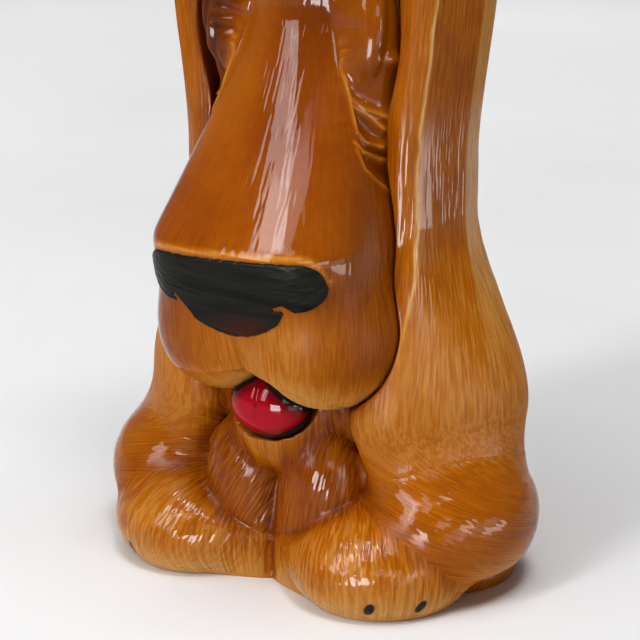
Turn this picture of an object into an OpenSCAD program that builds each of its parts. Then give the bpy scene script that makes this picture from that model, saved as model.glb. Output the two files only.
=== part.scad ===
// Sitting hound in glazed pottery: hollow and solid castings luted together with slip.
// Millimetres. +Z is up, the floor is z = 0, the dog faces -Y and its own left side is +X.
// Every casting is a blend of rounded clay lumps. Its skin is found by walking out from a
// core line to where the blend ends, and a casting stops one slip seam short of the
// neighbour it is luted to.

/* [Castings] */
// Wall of the two drained hollow castings
wall = 7; // [5:0.5:9]
// Thickness of the slip seam between two castings
slip = 0.3; // [0.1:0.1:0.6]
// Diameter of the vent hole through the base
vent_d = 24; // [12:1:36]
// Diameter of the vent between the head and the neck
throat_d = 10; // [6:1:12]

/* [Body] */
// Width of the body at the floor
body_w = 122; // [114:1:126]
// Width of the neck
neck_w = 90; // [86:1:94]
// Height of the flat top of the neck
neck_z = 262; // [256:1:266]
// Distance from the middle plane to the chest at the floor
chest_y = 24; // [20:1:26]
// Distance from the middle plane to the front of the neck
throat_y = 8; // [4:1:10]
// Distance from the middle plane to the rump at the floor
rump_y = 78; // [72:1:82]
// Distance from the middle plane to the nape
nape_y = 54; // [50:1:58]
// How far the back bows out between rump and nape
back_bow = 8; // [2:1:12]

/* [Head] */
// Width of the skull
skull_w = 108; // [102:1:114]
// Depth of the skull, front to back
skull_d = 108; // [102:1:114]
// Height of the top of the head
crown_z = 360; // [354:1:366]
// Width of the cheeks
cheek_w = 100; // [96:1:104]
// Width of the bridge of the snout between the eyes
bridge_w = 34; // [28:1:40]
// Height where the snout starts to flare below the eyes
bridge_z = 270; // [262:1:276]
// Distance from the middle plane to the bridge of the snout
bridge_y = 28; // [26:1:32]
// Width of the snout at the edge above the nose
nose_w = 102; // [94:1:108]
// Height of the edge above the nose
nose_z = 158; // [154:1:162]
// Distance from the middle plane to the front of the nose
nose_y = 82; // [76:1:88]
// Width of one jowl
jowl_w = 60; // [54:1:66]
// Depth of one jowl
jowl_d = 74; // [68:1:80]
// Height of one jowl
jowl_h = 62; // [56:1:66]
// Height of the underside of the jowls
jowl_z = 83; // [80:1:88]
// Thickness of the nose pad
nose_pad = 1.6; // [1:0.2:2.4]
// Diameter of an eyeball
eye_d = 30; // [26:1:33]
// Thickness of an upper eyelid
lid_t = 3.5; // [2.5:0.5:5]
// How far an upper eyelid slopes down to the outside
lid_slope = 18; // [8:1:28]

/* [Jaw] */
// Width of the chin
chin_w = 48; // [42:1:54]
// Height of the underside of the chin
chin_z = 47; // [44:1:52]
// Distance from the middle plane to the front of the chin
chin_y = 53; // [50:1:56]
// Width of the tongue
tongue_w = 38; // [34:1:42]
// Length of the tongue
tongue_l = 31; // [27:1:34]

/* [Ears] */
// Height of the top of the ear
ear_top = 342; // [336:1:346]
// Breadth of the ear at its waist
ear_b = 50; // [46:1:54]
// Thickness of the ear at its waist
ear_t = 21; // [18:1:24]
// Extra breadth at the hem
hem_b = 32; // [26:1:38]
// Extra thickness at the hem
hem_t = 22; // [16:1:26]
// Distance from the middle plane to the middle of the ear at its waist
ear_x = 53; // [52:1:56]

/* [Legs and paws] */
// Overall width across the haunches
haunch_span = 206; // [200:1:212]
// Width of one haunch
haunch_w = 74; // [68:1:80]
// Depth of one haunch
haunch_d = 90; // [84:1:96]
// Height of the top of the haunch
haunch_z = 65; // [60:1:70]
// Width across one forepaw
paw_w = 80; // [72:1:86]
// Length of one forepaw
paw_l = 70; // [64:1:78]
// Height of a forepaw
paw_h = 42; // [38:1:46]
// Distance between the middles of the two forepaws
paw_gap = 100; // [94:1:106]
// Turn-out of a forepaw
paw_turn = 45; // [30:1:55]
// Width of one foreleg
leg_w = 40; // [36:1:44]
// Height of the top of a foreleg
leg_z = 72; // [68:1:76]
// Length of a hind foot
foot_l = 52; // [44:1:58]
// Height of a hind foot
foot_h = 15; // [13:1:18]

/* [Tail] */
// Diameter of the tail at its root
tail_d = 24; // [20:1:28]
// Angle the tail reaches round the rump
tail_sweep = 60; // [40:1:70]

/* [Hidden] */
amber = [0.66, 0.36, 0.11];
chestnut = [0.5, 0.24, 0.06];
tan_glaze = [0.76, 0.52, 0.27];
black_glaze = [0.06, 0.06, 0.05];
red_glaze = [0.72, 0.02, 0.1];
white_glaze = [0.92, 0.88, 0.8];
tiny = 0.000001;

// centres of the lumps that the sizes above place
skull_r = [skull_w / 2, skull_d / 2, 58];
skull_c = [0, nape_y + 16 - skull_d / 2, crown_z - skull_r.z];
cheek_r = [cheek_w / 2, 40, 95];
cheek_c = [0, 12, 228];
jowl_r = [jowl_w / 2, jowl_d / 2, jowl_h / 2];
jowl_c = [25, -34, jowl_z + jowl_r.z];
pad_c = [31, -8, 200];
pad_r = [17, 17, 48];
bag_c = [35, -18, 240];
bag_r = [14, 14, 30];
brow_c = [26, -20, 304];
brow_r = [23, 17, 13];
nape_c = [0, nape_y - 18, neck_z];
nape_r = [neck_w / 2 + 4, 25, 34];
eye_c = [27, -25, 284];
chin_r = [chin_w / 2, 22, 25];
chin_c = [0, chin_r.y - chin_y, chin_z + chin_r.z];
throat_c = [0, -21, 82];
throat_r = [38, 17, 36];
tongue_r = [tongue_w / 2, 13.5, tongue_l / 2];
tongue_c = [0, -44, 97.5 - tongue_r.z];
haunch_r = [haunch_w / 2, haunch_d / 2, 34];
haunch_c = [haunch_span / 2 - haunch_r.x, -4, haunch_z - haunch_r.z];
paw_r = [paw_w / 2, paw_l / 2, 26];
paw_c = [paw_gap / 2, -32, paw_h - paw_r.z];
leg_r = [leg_w / 2, 17, 33];
leg_c = [leg_r.x - 1, -33, leg_z - leg_r.z];
heel_r = [leg_r.x - 1, 16, 28];
heel_c = [heel_r.x - 5, -33, 6];
foot_r = [19, foot_l / 2, 11];
foot_c = [70, 8, foot_h - foot_r.z];
tail_path_r = rump_y - 4;
tail_c_y = 8;
tail_start = 8;
base_c_y = 24;

function mix(a, b, t) = a + (b - a) * t;
function unit(t) = min(1, max(0, t));
function ease(t) = t * t * (3 - 2 * t);
function across(p) = [abs(p.x), p.y, p.z];

// the smaller of two distances, with a fillet of size k where they meet
function blend(a, b, k) = let (h = max(k - abs(a - b), 0) / k) min(a, b) - h * h * k / 4;
// the larger of two distances, with the corner eased over k
function corner(a, b, k) = -blend(-a, -b, k);

// distance to a lump of clay: an ellipsoid at c with radii r
function lump(p, c, r) =
    let (
        u = [(p.x - c.x) / r.x, (p.y - c.y) / r.y, (p.z - c.z) / r.z],
        k0 = norm(u) + tiny,
        k1 = norm([u.x / r.x, u.y / r.y, u.z / r.z]) + tiny
    ) k0 * (k0 - 1) / k1;

// distance to an upright column whose level section is a rounded oblong
function oblong(p, half_w, front, back, n) =
    let (
        d = (back - front) / 2,
        g = pow(pow(abs(p.x) / half_w, n) + pow(abs(p.y - front - d) / d, n) + tiny, 1 / n)
    ) (g - 1) * min(half_w, d);

// p as seen after turning the world about the upright line through c
function unturned(p, c, a) =
    let (x = p.x - c.x, y = p.y - c.y)
    [c.x + x * cos(a) + y * sin(a), c.y - x * sin(a) + y * cos(a), p.z];

// the body: a column tapering from the rump to the neck
function body_f(p) =
    let (
        t = unit(p.z / neck_z),
        half_w = mix(body_w, neck_w, pow(t, 1.2)) / 2,
        front = mix(-chest_y, -throat_y, t),
        back = mix(rump_y, nape_y, t) + back_bow * sin(180 * pow(t, 0.6))
    ) max(oblong(p, half_w, front, back, 2.3), p.z - neck_z, -p.z);

// the snout: a ramp that flares from the bridge to the nose, cut back below the nose's edge
function snout_f(p) =
    let (
        t = unit((bridge_z - p.z) / (bridge_z - nose_z)),
        u = max(0, (nose_z - p.z) / (nose_z - jowl_z)),
        ramp = max(0, (bridge_z - p.z) / (bridge_z - nose_z)),
        front = corner(-bridge_y - (nose_y - bridge_y) * pow(ramp, 1.65), -nose_y + 26 * pow(u, 1.4), 3),
        half_w = blend(mix(bridge_w, nose_w, ramp) / 2, nose_w / 2 + 2 - 12 * u, 16)
    ) max(oblong(p, half_w, front, 10, 2 + 1.2 * t * t), p.z - bridge_z - 30, jowl_z + 20 - p.z);

// the whole head before it is trimmed to its neighbours
function head_f(p) =
    let (
        q = across(p),
        a = blend(snout_f(p), lump(q, jowl_c, jowl_r), 10),
        b = blend(a, lump(p, cheek_c, cheek_r), 7),
        c = blend(b, lump(q, pad_c, pad_r), 4),
        d = blend(c, lump(p, skull_c, skull_r), 22),
        e = blend(d, lump(q, brow_c, brow_r), 12),
        f = blend(e, lump(p, nape_c, nape_r), 16)
    ) blend(f, lump(q, bag_c, bag_r), 8);

function tongue_f(p) = lump(p, tongue_c, tongue_r);
function jaw_f(p) = blend(lump(p, chin_c, chin_r), lump(p, throat_c, throat_r), 8);
function haunch_f(p) = lump(p, haunch_c, haunch_r);
// the haunch's underside is lifted off the floor and rounded, so that the hind foot shows below it
haunch_lift = 9;
function lifted_f(p) = corner(haunch_f(p), haunch_lift - p.z, 9);
function paw_f(p) = lump(unturned(p, paw_c, paw_turn), paw_c, paw_r);
function leg_f(p) = blend(lump(p, leg_c, leg_r), lump(p, heel_c, heel_r), 14);
function foot_f(p) = lump(p, foot_c, foot_r);

// the ear's level section at height z: squarish above the waist, with a bevel along each edge of the
// outer side, and round at the hem
waist_z = 165;
hem_z = 46;
// the flap runs on into the haunch and ends inside it, above the haunch's underside
ear_end_z = haunch_lift + 11;
ear_round = 26;
hem_round = 34;
ear_square = 3.6;
hem_square = 2.1;
front_bevel_a = 21.8;
front_bevel = 1.058;
back_bevel_a = 42.9;
back_bevel = 0.937;
function ear_flare(z) = ease(unit((waist_z - z) / 85));
function ear_mid(z) =
    let (
        out = 8 * ease(unit((z - waist_z - 20) / 87)) - 9 * pow(unit((z - 290) / 45), 2),
        fl = ear_flare(z)
    ) [ear_x + 9 * fl + out, 8 * unit((z - 272) / 63) - 7 * fl, z];
function ear_f(p) =
    let (
        fl = ear_flare(p.z),
        m = ear_mid(p.z),
        half_b = (ear_b + hem_b * fl) / 2,
        half_t = (ear_t + hem_t * fl) / 2,
        a = 14 + 20 * fl,
        over = min(0.999, unit((p.z - ear_top + ear_round) / ear_round)),
        under = min(0.999, unit((hem_z + hem_round - p.z) / hem_round)),
        size = sqrt((1 - over * over) * (1 - under * under)),
        x = p.x - m.x,
        y = p.y - m.y,
        long = (x * sin(a) + y * cos(a)) / half_b,
        thick = (x * cos(a) - y * sin(a)) / half_t,
        n = mix(ear_square, hem_square, ease(unit(fl / 0.6))),
        slab = pow(pow(abs(long), n) + pow(abs(thick), n) + tiny, 1 / n),
        front = (thick * sin(front_bevel_a) - long * cos(front_bevel_a)) / front_bevel,
        back = (thick * sin(back_bevel_a) + long * cos(back_bevel_a)) / back_bevel,
        g = mix(corner(slab, max(front, back), 0.05), slab, ease(unit((fl - 0.1) / 0.6))),
        flap = max((g - size) * half_t, p.z - ear_top, hem_z - p.z)
    ) blend(flap, max(haunch_f(p) + 1.5, ear_end_z - p.z), 20);

// the tail lies round the rump as a tapering arc on the floor
function tail_turn(t) = tail_sweep * t - tail_start;
function tail_mid(t) =
    let (a = tail_turn(t))
    [-tail_path_r * sin(a), tail_c_y + tail_path_r * cos(a), tail_d * (0.46 - 0.18 * t)];
function tail_r(t) = tail_d / 2 * (1 - 0.45 * t) * sqrt(max(0.0001, 1 - pow(abs(2 * t - 1), 4)));

// walk from o along d to the first place where the distance f is zero
function reach(f, o, d, r = 0, n = 60) =
    let (s = f(o + r * d))
    n == 0 || abs(s) < 0.004 ? r : reach(f, o, d, max(0, r - 0.72 * s), n - 1);

function settle(p) = [p.x, p.y, p.z < 0.02 ? 0 : p.z];
function hit(f, o, d) = settle(o + reach(f, o, d) * d);
function ray(u, e) = [cos(e) * cos(u), cos(e) * sin(u), sin(e)];

// rings of skin points: a cap below the core line, its side, and a cap above
function skin_rings(f, core, nu, caps, sides) =
    [for (i = [1 : caps]) [for (j = [0 : nu - 1]) hit(f, core(0), ray(360 * j / nu, 90 * (i / caps - 1)))],
     for (i = [1 : 1 : sides]) [for (j = [0 : nu - 1]) hit(f, core(i / sides), ray(360 * j / nu, 0))],
     for (i = [1 : caps - 1]) [for (j = [0 : nu - 1]) hit(f, core(1), ray(360 * j / nu, 90 * i / caps))]];

function ring_faces(m, nu) =
    [for (i = [0 : m - 2], j = [0 : nu - 1])
        let (k = (j + 1) % nu, a = 1 + i * nu + j, b = 1 + i * nu + k)
        each [[a, a + nu, b + nu], [a, b + nu, b]]];

// a closed skin over rings that start and end at a single point
module rings_solid(rings, first, last)
{
    nu = len(rings[0]);
    m = len(rings);
    points = [first, each [for (r = rings) each r], last];
    bottom = [for (j = [0 : nu - 1]) [0, 1 + j, 1 + (j + 1) % nu]];
    end = 1 + (m - 1) * nu;
    top = [for (j = [0 : nu - 1]) [m * nu + 1, end + (j + 1) % nu, end + j]];
    polyhedron(points, concat(bottom, ring_faces(m, nu), top), convexity = 8);
}

// the skin of distance f around a core line
module casting(f, core, nu, caps, sides = 0)
{
    rings = skin_rings(f, core, nu, caps, sides);
    rings_solid(rings, hit(f, core(0), [0, 0, -1]), hit(f, core(1), [0, 0, 1]));
}

body_core = function (t) [0, base_c_y, mix(40, neck_z - 45, t)];
head_core = function (t) [0, mix(-42, -13, t), mix(112, 300, t)];
ear_core = function (t) ear_mid(mix(haunch_z + 18, ear_top - 22, t)) + [2, 0, 0];
throat_z = 225;

// distance f swollen by g and kept off the floor, and for a leg also off the middle plane
function on_floor(f, p, g) = max(f(p) - g, -p.z - g);
function on_one_side(f, p, g) = max(on_floor(f, p, g), slip / 2 - g - p.x);

// the outer form of each casting before it is trimmed, swollen by g
module body_form(g = 0)
{
    casting(function (p) body_f(p) - g, body_core, 40, 8, 8);
}

module head_form(g = 0)
{
    casting(function (p) head_f(p) - g, head_core, 48, 9, 22);
}

module jaw_form(g = 0)
{
    casting(function (p) jaw_f(p) - g, function (t) chin_c, 28, 8);
}

module tongue_form(g = 0)
{
    casting(function (p) tongue_f(p) - g, function (t) tongue_c, 20, 6);
}

module ear_form()
{
    casting(function (p) ear_f(p), ear_core, 40, 6, 18);
}

module eye_form(g = 0)
{
    translate(eye_c) sphere(d = eye_d + 2 * g, $fn = 96);
}

module leg_form(g = 0)
{
    casting(function (p) on_one_side(function (q) leg_f(q), p, g), function (t) leg_c, 24, 7);
}

module paw_form(g = 0)
{
    casting(function (p) on_one_side(function (q) paw_f(q), p, g), function (t) paw_c, 28, 7);
}

module haunch_form(g = 0)
{
    casting(function (p) lifted_f(p) - g, function (t) haunch_c, 30, 8);
}

module foot_form(g = 0)
{
    casting(function (p) on_floor(function (q) foot_f(q), p, g), function (t) foot_c, 22, 5);
}

module throat_vent()
{
    start_y = -throat_y - 16;
    translate([0, start_y, throat_z]) rotate([-90, 0, 0]) cylinder(d = throat_d, h = 34, $fn = 32);
}

module both_sides()
{
    children();
    mirror([1, 0, 0]) children();
}

module body()
{
    color(chestnut) difference()
    {
        body_form();
        casting(function (p) body_f(p) + wall, body_core, 28, 6, 6);
        translate([0, base_c_y, -1]) cylinder(d = vent_d, h = wall + 12, $fn = 48);
        throat_vent();
    }
}

module head()
{
    color(amber) difference()
    {
        head_form();
        casting(function (p) max(head_f(p), slip - body_f(p)) + wall, head_core, 24, 6, 14);
        body_form(slip);
        both_sides() eye_form(slip);
        throat_vent();
    }
}

// the nose pad follows the snout's front from the edge down to a blunt point, with rounded ends
nose_axis_y = -36;
nose_sweep = 54;
nose_end_z = nose_z - 15;
function nose_low(s) = nose_end_z - 1 - 22.5 * pow(1 - pow(abs(s), 2.2), 0.85);
function nose_high(s) = nose_end_z + 1 + 12 * (1 - pow(abs(s), 11));
function nose_point(s, t, off) =
    let (
        z = mix(nose_low(s), nose_high(s), t),
        a = nose_sweep * s,
        o = [0, nose_axis_y, z],
        d = [sin(a), -cos(a), 0]
    ) o + (reach(function (p) head_f(p), o, d) + off) * d;

module nose()
{
    nu = 28;
    nv = 6;
    w = nv + 1;
    front = [for (i = [0 : nu], j = [0 : nv]) nose_point(2 * i / nu - 1, j / nv, nose_pad)];
    back = [for (i = [0 : nu], j = [0 : nv]) nose_point(2 * i / nu - 1, j / nv, slip)];
    n = len(front);
    sheet = [for (i = [0 : nu - 1], j = [0 : nv - 1])
        let (a = i * w + j)
        each [[a, a + 1, a + w + 1], [a, a + w + 1, a + w],
            [n + a, n + a + w + 1, n + a + 1], [n + a, n + a + w, n + a + w + 1]]];
    rims = [for (i = [0 : nu - 1], j = [0, nv])
        let (a = i * w + j, b = a + w)
        each (j == 0 ? [[a, b, n + b], [a, n + b, n + a]] : [[a, n + b, b], [a, n + a, n + b]])];
    ends = [for (j = [0 : nv - 1], i = [0, nu])
        let (a = i * w + j, b = a + 1)
        each (i == 0 ? [[a, n + b, b], [a, n + a, n + b]] : [[a, b, n + b], [a, n + b, n + a]])];
    color(black_glaze) polyhedron(concat(front, back), concat(sheet, rims, ends), convexity = 4);
}

module lower_jaw()
{
    color(amber) difference()
    {
        jaw_form();
        head_form(slip);
        body_form(slip);
        tongue_form(slip);
    }
}

module tongue()
{
    color(red_glaze) difference()
    {
        tongue_form();
        head_form(slip);
        body_form(slip);
    }
}

module ear()
{
    color(chestnut) difference()
    {
        ear_form();
        head_form(slip);
        body_form(slip);
        haunch_form(slip);
    }
}

module eye()
{
    color(white_glaze) eye_form();
}

// an upper eyelid: the upper part of a shell round the eyeball
module eyelid()
{
    color(amber) difference()
    {
        eye_form(slip + lid_t);
        eye_form(slip);
        translate(eye_c)
            rotate([0, lid_slope, 0])
            translate([-eye_d, -eye_d, -2 * eye_d])
            cube(2 * eye_d);
        head_form(slip);
    }
}

module foreleg()
{
    color(amber) difference()
    {
        leg_form();
        body_form(slip);
        paw_form(slip);
        jaw_form(slip);
    }
}

module forepaw()
{
    color(tan_glaze) difference()
    {
        paw_form();
        body_form(slip);
    }
}

module haunch()
{
    color(amber) difference()
    {
        haunch_form();
        body_form(slip);
        paw_form(slip);
        leg_form(slip);
        foot_form(slip);
    }
}

module hind_foot()
{
    color(tan_glaze) difference()
    {
        foot_form();
        body_form(slip);
        paw_form(slip);
    }
}

module tail()
{
    m = 16;
    nu = 16;
    rings = [for (i = [1 : m - 1])
        let (t = i / m, o = tail_mid(t), a = tail_turn(t))
        [for (j = [0 : nu - 1])
            let (u = -360 * j / nu, d = cos(u) * [-sin(a), cos(a), 0] + sin(u) * [0, 0, 1])
            settle(o + min(tail_r(t), d.z < 0 ? -o.z / d.z : tail_r(t)) * d)]];
    color(chestnut) difference()
    {
        rings_solid(rings, tail_mid(0), tail_mid(1));
        body_form(slip);
    }
}

module left_ear() { ear(); }
module right_ear() { mirror([1, 0, 0]) ear(); }
module left_eye() { eye(); }
module right_eye() { mirror([1, 0, 0]) eye(); }
module left_eyelid() { eyelid(); }
module right_eyelid() { mirror([1, 0, 0]) eyelid(); }
module left_foreleg() { foreleg(); }
module right_foreleg() { mirror([1, 0, 0]) foreleg(); }
module left_forepaw() { forepaw(); }
module right_forepaw() { mirror([1, 0, 0]) forepaw(); }
module left_haunch() { haunch(); }
module right_haunch() { mirror([1, 0, 0]) haunch(); }
module left_hind_foot() { hind_foot(); }
module right_hind_foot() { mirror([1, 0, 0]) hind_foot(); }

body();
head();
nose();
lower_jaw();
tongue();
left_ear();
right_ear();
left_eye();
right_eye();
left_eyelid();
right_eyelid();
left_foreleg();
right_foreleg();
left_forepaw();
right_forepaw();
left_haunch();
right_haunch();
left_hind_foot();
right_hind_foot();
tail();
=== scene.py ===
"""A sitting hound in glazed pottery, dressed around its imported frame.

Each casting is a blend of rounded clay lumps. A lump is a distance: below zero inside the clay, zero on its skin.
Rays leave a core line inside the casting and stop where the blend is zero, so a skin is a grid of two parameters.
Combed fur, folds and paint are then laid over that grid. Sizes are millimetres and the meshes are metres.
"""
import logging
import math
from dataclasses import dataclass, field
from enum import Enum
from functools import partial
from typing import Callable

import bpy
import numpy as np
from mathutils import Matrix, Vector


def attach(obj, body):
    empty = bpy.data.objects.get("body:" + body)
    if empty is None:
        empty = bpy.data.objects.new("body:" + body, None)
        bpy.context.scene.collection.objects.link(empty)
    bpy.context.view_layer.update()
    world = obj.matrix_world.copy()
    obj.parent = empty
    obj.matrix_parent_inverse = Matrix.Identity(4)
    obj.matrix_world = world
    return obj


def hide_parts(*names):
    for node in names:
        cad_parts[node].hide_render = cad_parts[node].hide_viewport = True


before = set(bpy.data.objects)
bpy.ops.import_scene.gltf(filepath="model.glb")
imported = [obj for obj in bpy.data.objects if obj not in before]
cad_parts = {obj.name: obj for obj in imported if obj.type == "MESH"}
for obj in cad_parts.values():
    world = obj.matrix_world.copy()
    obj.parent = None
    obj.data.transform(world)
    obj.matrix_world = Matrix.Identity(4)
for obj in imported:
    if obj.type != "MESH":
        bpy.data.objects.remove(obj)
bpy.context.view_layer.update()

MM = 0.001
SLIP = 0.3
LOG = logging.getLogger("hound")

Array = np.ndarray
Field = Callable[[Array], Array]
Place = tuple[float, float, float]
Colour = tuple[float, float, float]
Stroke = tuple[tuple[float, float], tuple[float, float], float]


class Side(Enum):
    """The dog's own left, at +X, or right, at -X."""

    LEFT = 1
    RIGHT = -1

    @property
    def word(self) -> str:
        """The side's name as the nodes spell it."""
        return self.name.lower()


def unit(t: Array) -> Array:
    """t held between 0 and 1."""
    return np.clip(t, 0.0, 1.0)


def ease(t: Array, low: float = 0.0, high: float = 1.0) -> Array:
    """Smooth step from 0 at low to 1 at high."""
    s = unit((t - low) / (high - low))
    return s * s * (3.0 - 2.0 * s)


def mix(a: Array, b: Array, t: Array) -> Array:
    """a at t = 0, b at t = 1, in between in proportion."""
    return a + (b - a) * t


def bump(t: Array, middle: float, width: float) -> Array:
    """A bell of height 1 at middle that falls to 1/e at width."""
    return np.exp(-(((t - middle) / width) ** 2))


def blend(a: Array, b: Array, k: float | Array) -> Array:
    """The smaller of two distances, with a fillet of size k where they meet."""
    h = np.maximum(k - np.abs(a - b), 0.0) / k
    return np.minimum(a, b) - h * h * k / 4.0


def corner(a: Array, b: Array, k: float) -> Array:
    """The larger of two distances, with the corner eased over k."""
    return -blend(-a, -b, k)


def across(p: Array) -> Array:
    """Points folded onto the dog's left side."""
    return np.concatenate([np.abs(p[..., :1]), p[..., 1:]], axis=-1)


def mirrored(p: Array) -> Array:
    """Points seen from the other side."""
    return p * np.array([-1.0, 1.0, 1.0])


def toward(x: float, y: float, z: float) -> Array:
    """A direction made one long."""
    way = np.array([x, y, z])
    return way / np.linalg.norm(way)


def away_from(p: Array, place: Place) -> Array:
    """Directions from one place to each point."""
    way = p - np.array(place)
    return way / (np.linalg.norm(way, axis=-1, keepdims=True) + 1e-6)


def angle_from(out: Array, way: Array) -> Array:
    """Degrees between unit directions and one way."""
    return np.degrees(np.arccos(np.clip(out @ way, -1.0, 1.0)))


def unturned(p: Array, centre: Place, degrees: float) -> Array:
    """Points as seen after turning the world about the upright line through centre.

    Args:
        p: points.
        centre: a place on the upright line.
        degrees: how far to turn.

    Returns:
        The turned points.
    """
    c, s = math.cos(math.radians(degrees)), math.sin(math.radians(degrees))
    x, y = p[..., 0] - centre[0], p[..., 1] - centre[1]
    return np.stack([centre[0] + x * c + y * s, centre[1] - x * s + y * c, p[..., 2]], axis=-1)


def oblong(p: Array, half_w: Array, front: Array, back: Array, power: Array) -> Array:
    """Distance to an upright column whose level section is a rounded oblong.

    Args:
        p: points.
        half_w: half width at each point's height.
        front: y of the front at each point's height.
        back: y of the back at each point's height.
        power: exponent of the section, 2 for an ellipse and more for a squarer one.

    Returns:
        The distance, scaled by the section's smaller half size.
    """
    deep = (back - front) / 2.0
    wide = np.abs(p[..., 0] / half_w) ** power
    long = np.abs((p[..., 1] - front - deep) / deep) ** power
    return ((wide + long + 1e-6) ** (1.0 / power) - 1.0) * np.minimum(half_w, deep)


@dataclass(frozen=True)
class Lump:
    """A rounded lump of clay: an ellipsoid, and the fillet where it joins the clay that is there already."""

    centre: Place
    radii: Place
    fillet: float = 0.0

    def distance(self, p: Array) -> Array:
        """Distance to the ellipsoid, from the point's length in radii over its gradient.

        Args:
            p: points.

        Returns:
            The distance, below zero inside.
        """
        u = (p - np.array(self.centre)) / np.array(self.radii)
        near = np.linalg.norm(u, axis=-1) + 1e-6
        steep = np.linalg.norm(u / np.array(self.radii), axis=-1) + 1e-6
        return near * (near - 1.0) / steep


class Grain:
    """Solid noise: a box of seeded random values, eased between neighbours and repeated in all directions."""

    def __init__(self, seed: int, cells: int = 64) -> None:
        """Draws the box of random values."""
        self.cells = cells
        self.values = np.random.default_rng(seed).random((cells, cells, cells)).astype(np.float32)

    def at(self, p: Array) -> Array:
        """The noise at points given in cells, between 0 and 1.

        Args:
            p: places, one unit to a cell.

        Returns:
            One value per place.
        """
        whole = np.floor(p)
        part = (p - whole).astype(np.float32)
        part = part * part * (3.0 - 2.0 * part)
        low = whole.astype(np.int64) % self.cells
        high = (low + 1) % self.cells
        x0, y0, z0 = low[..., 0], low[..., 1], low[..., 2]
        x1, y1, z1 = high[..., 0], high[..., 1], high[..., 2]
        tx, ty, tz = part[..., 0], part[..., 1], part[..., 2]
        v = self.values
        floor = mix(mix(v[x0, y0, z0], v[x1, y0, z0], tx), mix(v[x0, y1, z0], v[x1, y1, z0], tx), ty)
        roof = mix(mix(v[x0, y0, z1], v[x1, y0, z1], tx), mix(v[x0, y1, z1], v[x1, y1, z1], tx), ty)
        return mix(floor, roof, tz)

    def combed(self, p: Array, flow: Array, cell: float, length: float) -> Array:
        """Noise drawn out into strokes: its average along the flow, set to about mean 0 and spread 1.

        Args:
            p: points in millimetres.
            flow: unit direction of the strokes at each point.
            cell: width of a noise cell, near half the pitch of the strokes.
            length: half length of a stroke.

        Returns:
            One value per point, above zero on a ridge and below in a groove.
        """
        steps = np.linspace(-1.0, 1.0, int(3.0 * length / cell) + 1)
        weights = 1.0 - 0.8 * steps * steps
        total = sum(w * self.at((p + flow * (s * length)) / cell) for s, w in zip(steps, weights))
        one_cell = 0.25
        return (total / weights.sum() - 0.5) / (one_cell * math.sqrt(0.6 * cell / length))


@dataclass(frozen=True)
class Skin:
    """A closed grid of rays that leave a core line and stop at the clay's skin.

    The first parameter turns round the core. The second sweeps up from straight below the core's start, runs along
    the core, and sweeps on to straight above its end.
    """

    clay: Field
    core: Callable[[Array], Array]
    around: int
    along: int
    cap: float = 0.5
    favour: Callable[[Array], Array] | None = None
    level: Callable[[Array], Array] | None = None
    relax: float = 0.72
    coarse: int = 4
    far_steps: int = 70
    near_steps: int = 10
    floor_share: float = 0.2

    def rays(self, u: Array, v: Array) -> tuple[Array, Array]:
        """Starts and directions of the rays.

        Args:
            u: turns round the core, in radians.
            v: rows, 0 at the lowest ray and 1 at the highest.

        Returns:
            Two arrays of rows by columns by 3.
        """
        dip = unit(v / self.cap) - 1.0
        rise = unit((v - 1.0 + self.cap) / self.cap)
        tilt = ((dip + rise) * math.pi / 2.0)[:, None]
        run = unit((v - self.cap) / max(1.0 - 2.0 * self.cap, 1e-9))
        flat = np.cos(tilt)
        ray = np.stack([flat * np.cos(u), flat * np.sin(u), np.sin(tilt) + 0.0 * u], axis=-1)
        return self.core(run)[:, None, :] + np.zeros_like(ray), ray

    def walk(self, start: Array, ray: Array, reach: Array, steps: int) -> Array:
        """Steps each ray on by its distance to the skin, so that it ends where the distance is zero.

        Args:
            start: where each ray leaves the core.
            ray: its direction, one long.
            reach: how far along it the walk begins.
            steps: how many steps are taken.

        Returns:
            How far each ray runs.
        """
        for _ in range(steps):
            reach = np.maximum(0.0, reach - self.relax * self.clay(start + ray * reach[..., None]))
        return reach

    def grid(self) -> Array:
        """The skin's points, rows by columns by 3, evenly spread.

        A coarse grid is walked first. Its rows and columns are then spread so that equal steps cover equal lengths,
        with few rows where the skin lies on the floor and more where favour (by turn) and level (by height) ask for
        them, and the fine grid starts from the coarse one's reach.

        Returns:
            The points; the first and the last row are each one point.
        """
        u0 = np.linspace(0.0, 2.0 * math.pi, self.around // self.coarse + 1)
        v0 = np.linspace(0.0, 1.0, self.along // self.coarse + 1)
        start, ray = self.rays(u0, v0)
        reach = self.walk(start, ray, np.zeros(ray.shape[:-1]), self.far_steps)
        points = start + ray * reach[..., None]
        wide = np.linalg.norm(np.diff(points, axis=1), axis=-1).mean(axis=0)
        if self.favour is not None:
            wide = wide * self.favour((u0[1:] + u0[:-1]) / 2.0)
        tall = np.linalg.norm(np.diff(points, axis=0), axis=-1).mean(axis=1)
        tall = np.where(points[1:, :, 2].max(axis=1) < 0.5, self.floor_share, 1.0) * tall
        if self.level is not None:
            tall = tall * self.level(points[1:, :, 2].mean(axis=1))
        u = spread(u0, wide, self.around + 1)[:-1]
        v = spread(v0, tall, self.along + 1)
        start, ray = self.rays(u, v)
        reach = self.walk(start, ray, resampled(reach, v0, u0, v, u), self.near_steps)
        return start + ray * reach[..., None]


def point(x: float, y: float, z: float) -> Callable[[Array], Array]:
    """A core that is one point, given once for each row."""
    return lambda t: np.array([x, y, z]) + 0.0 * t[:, None]


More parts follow.
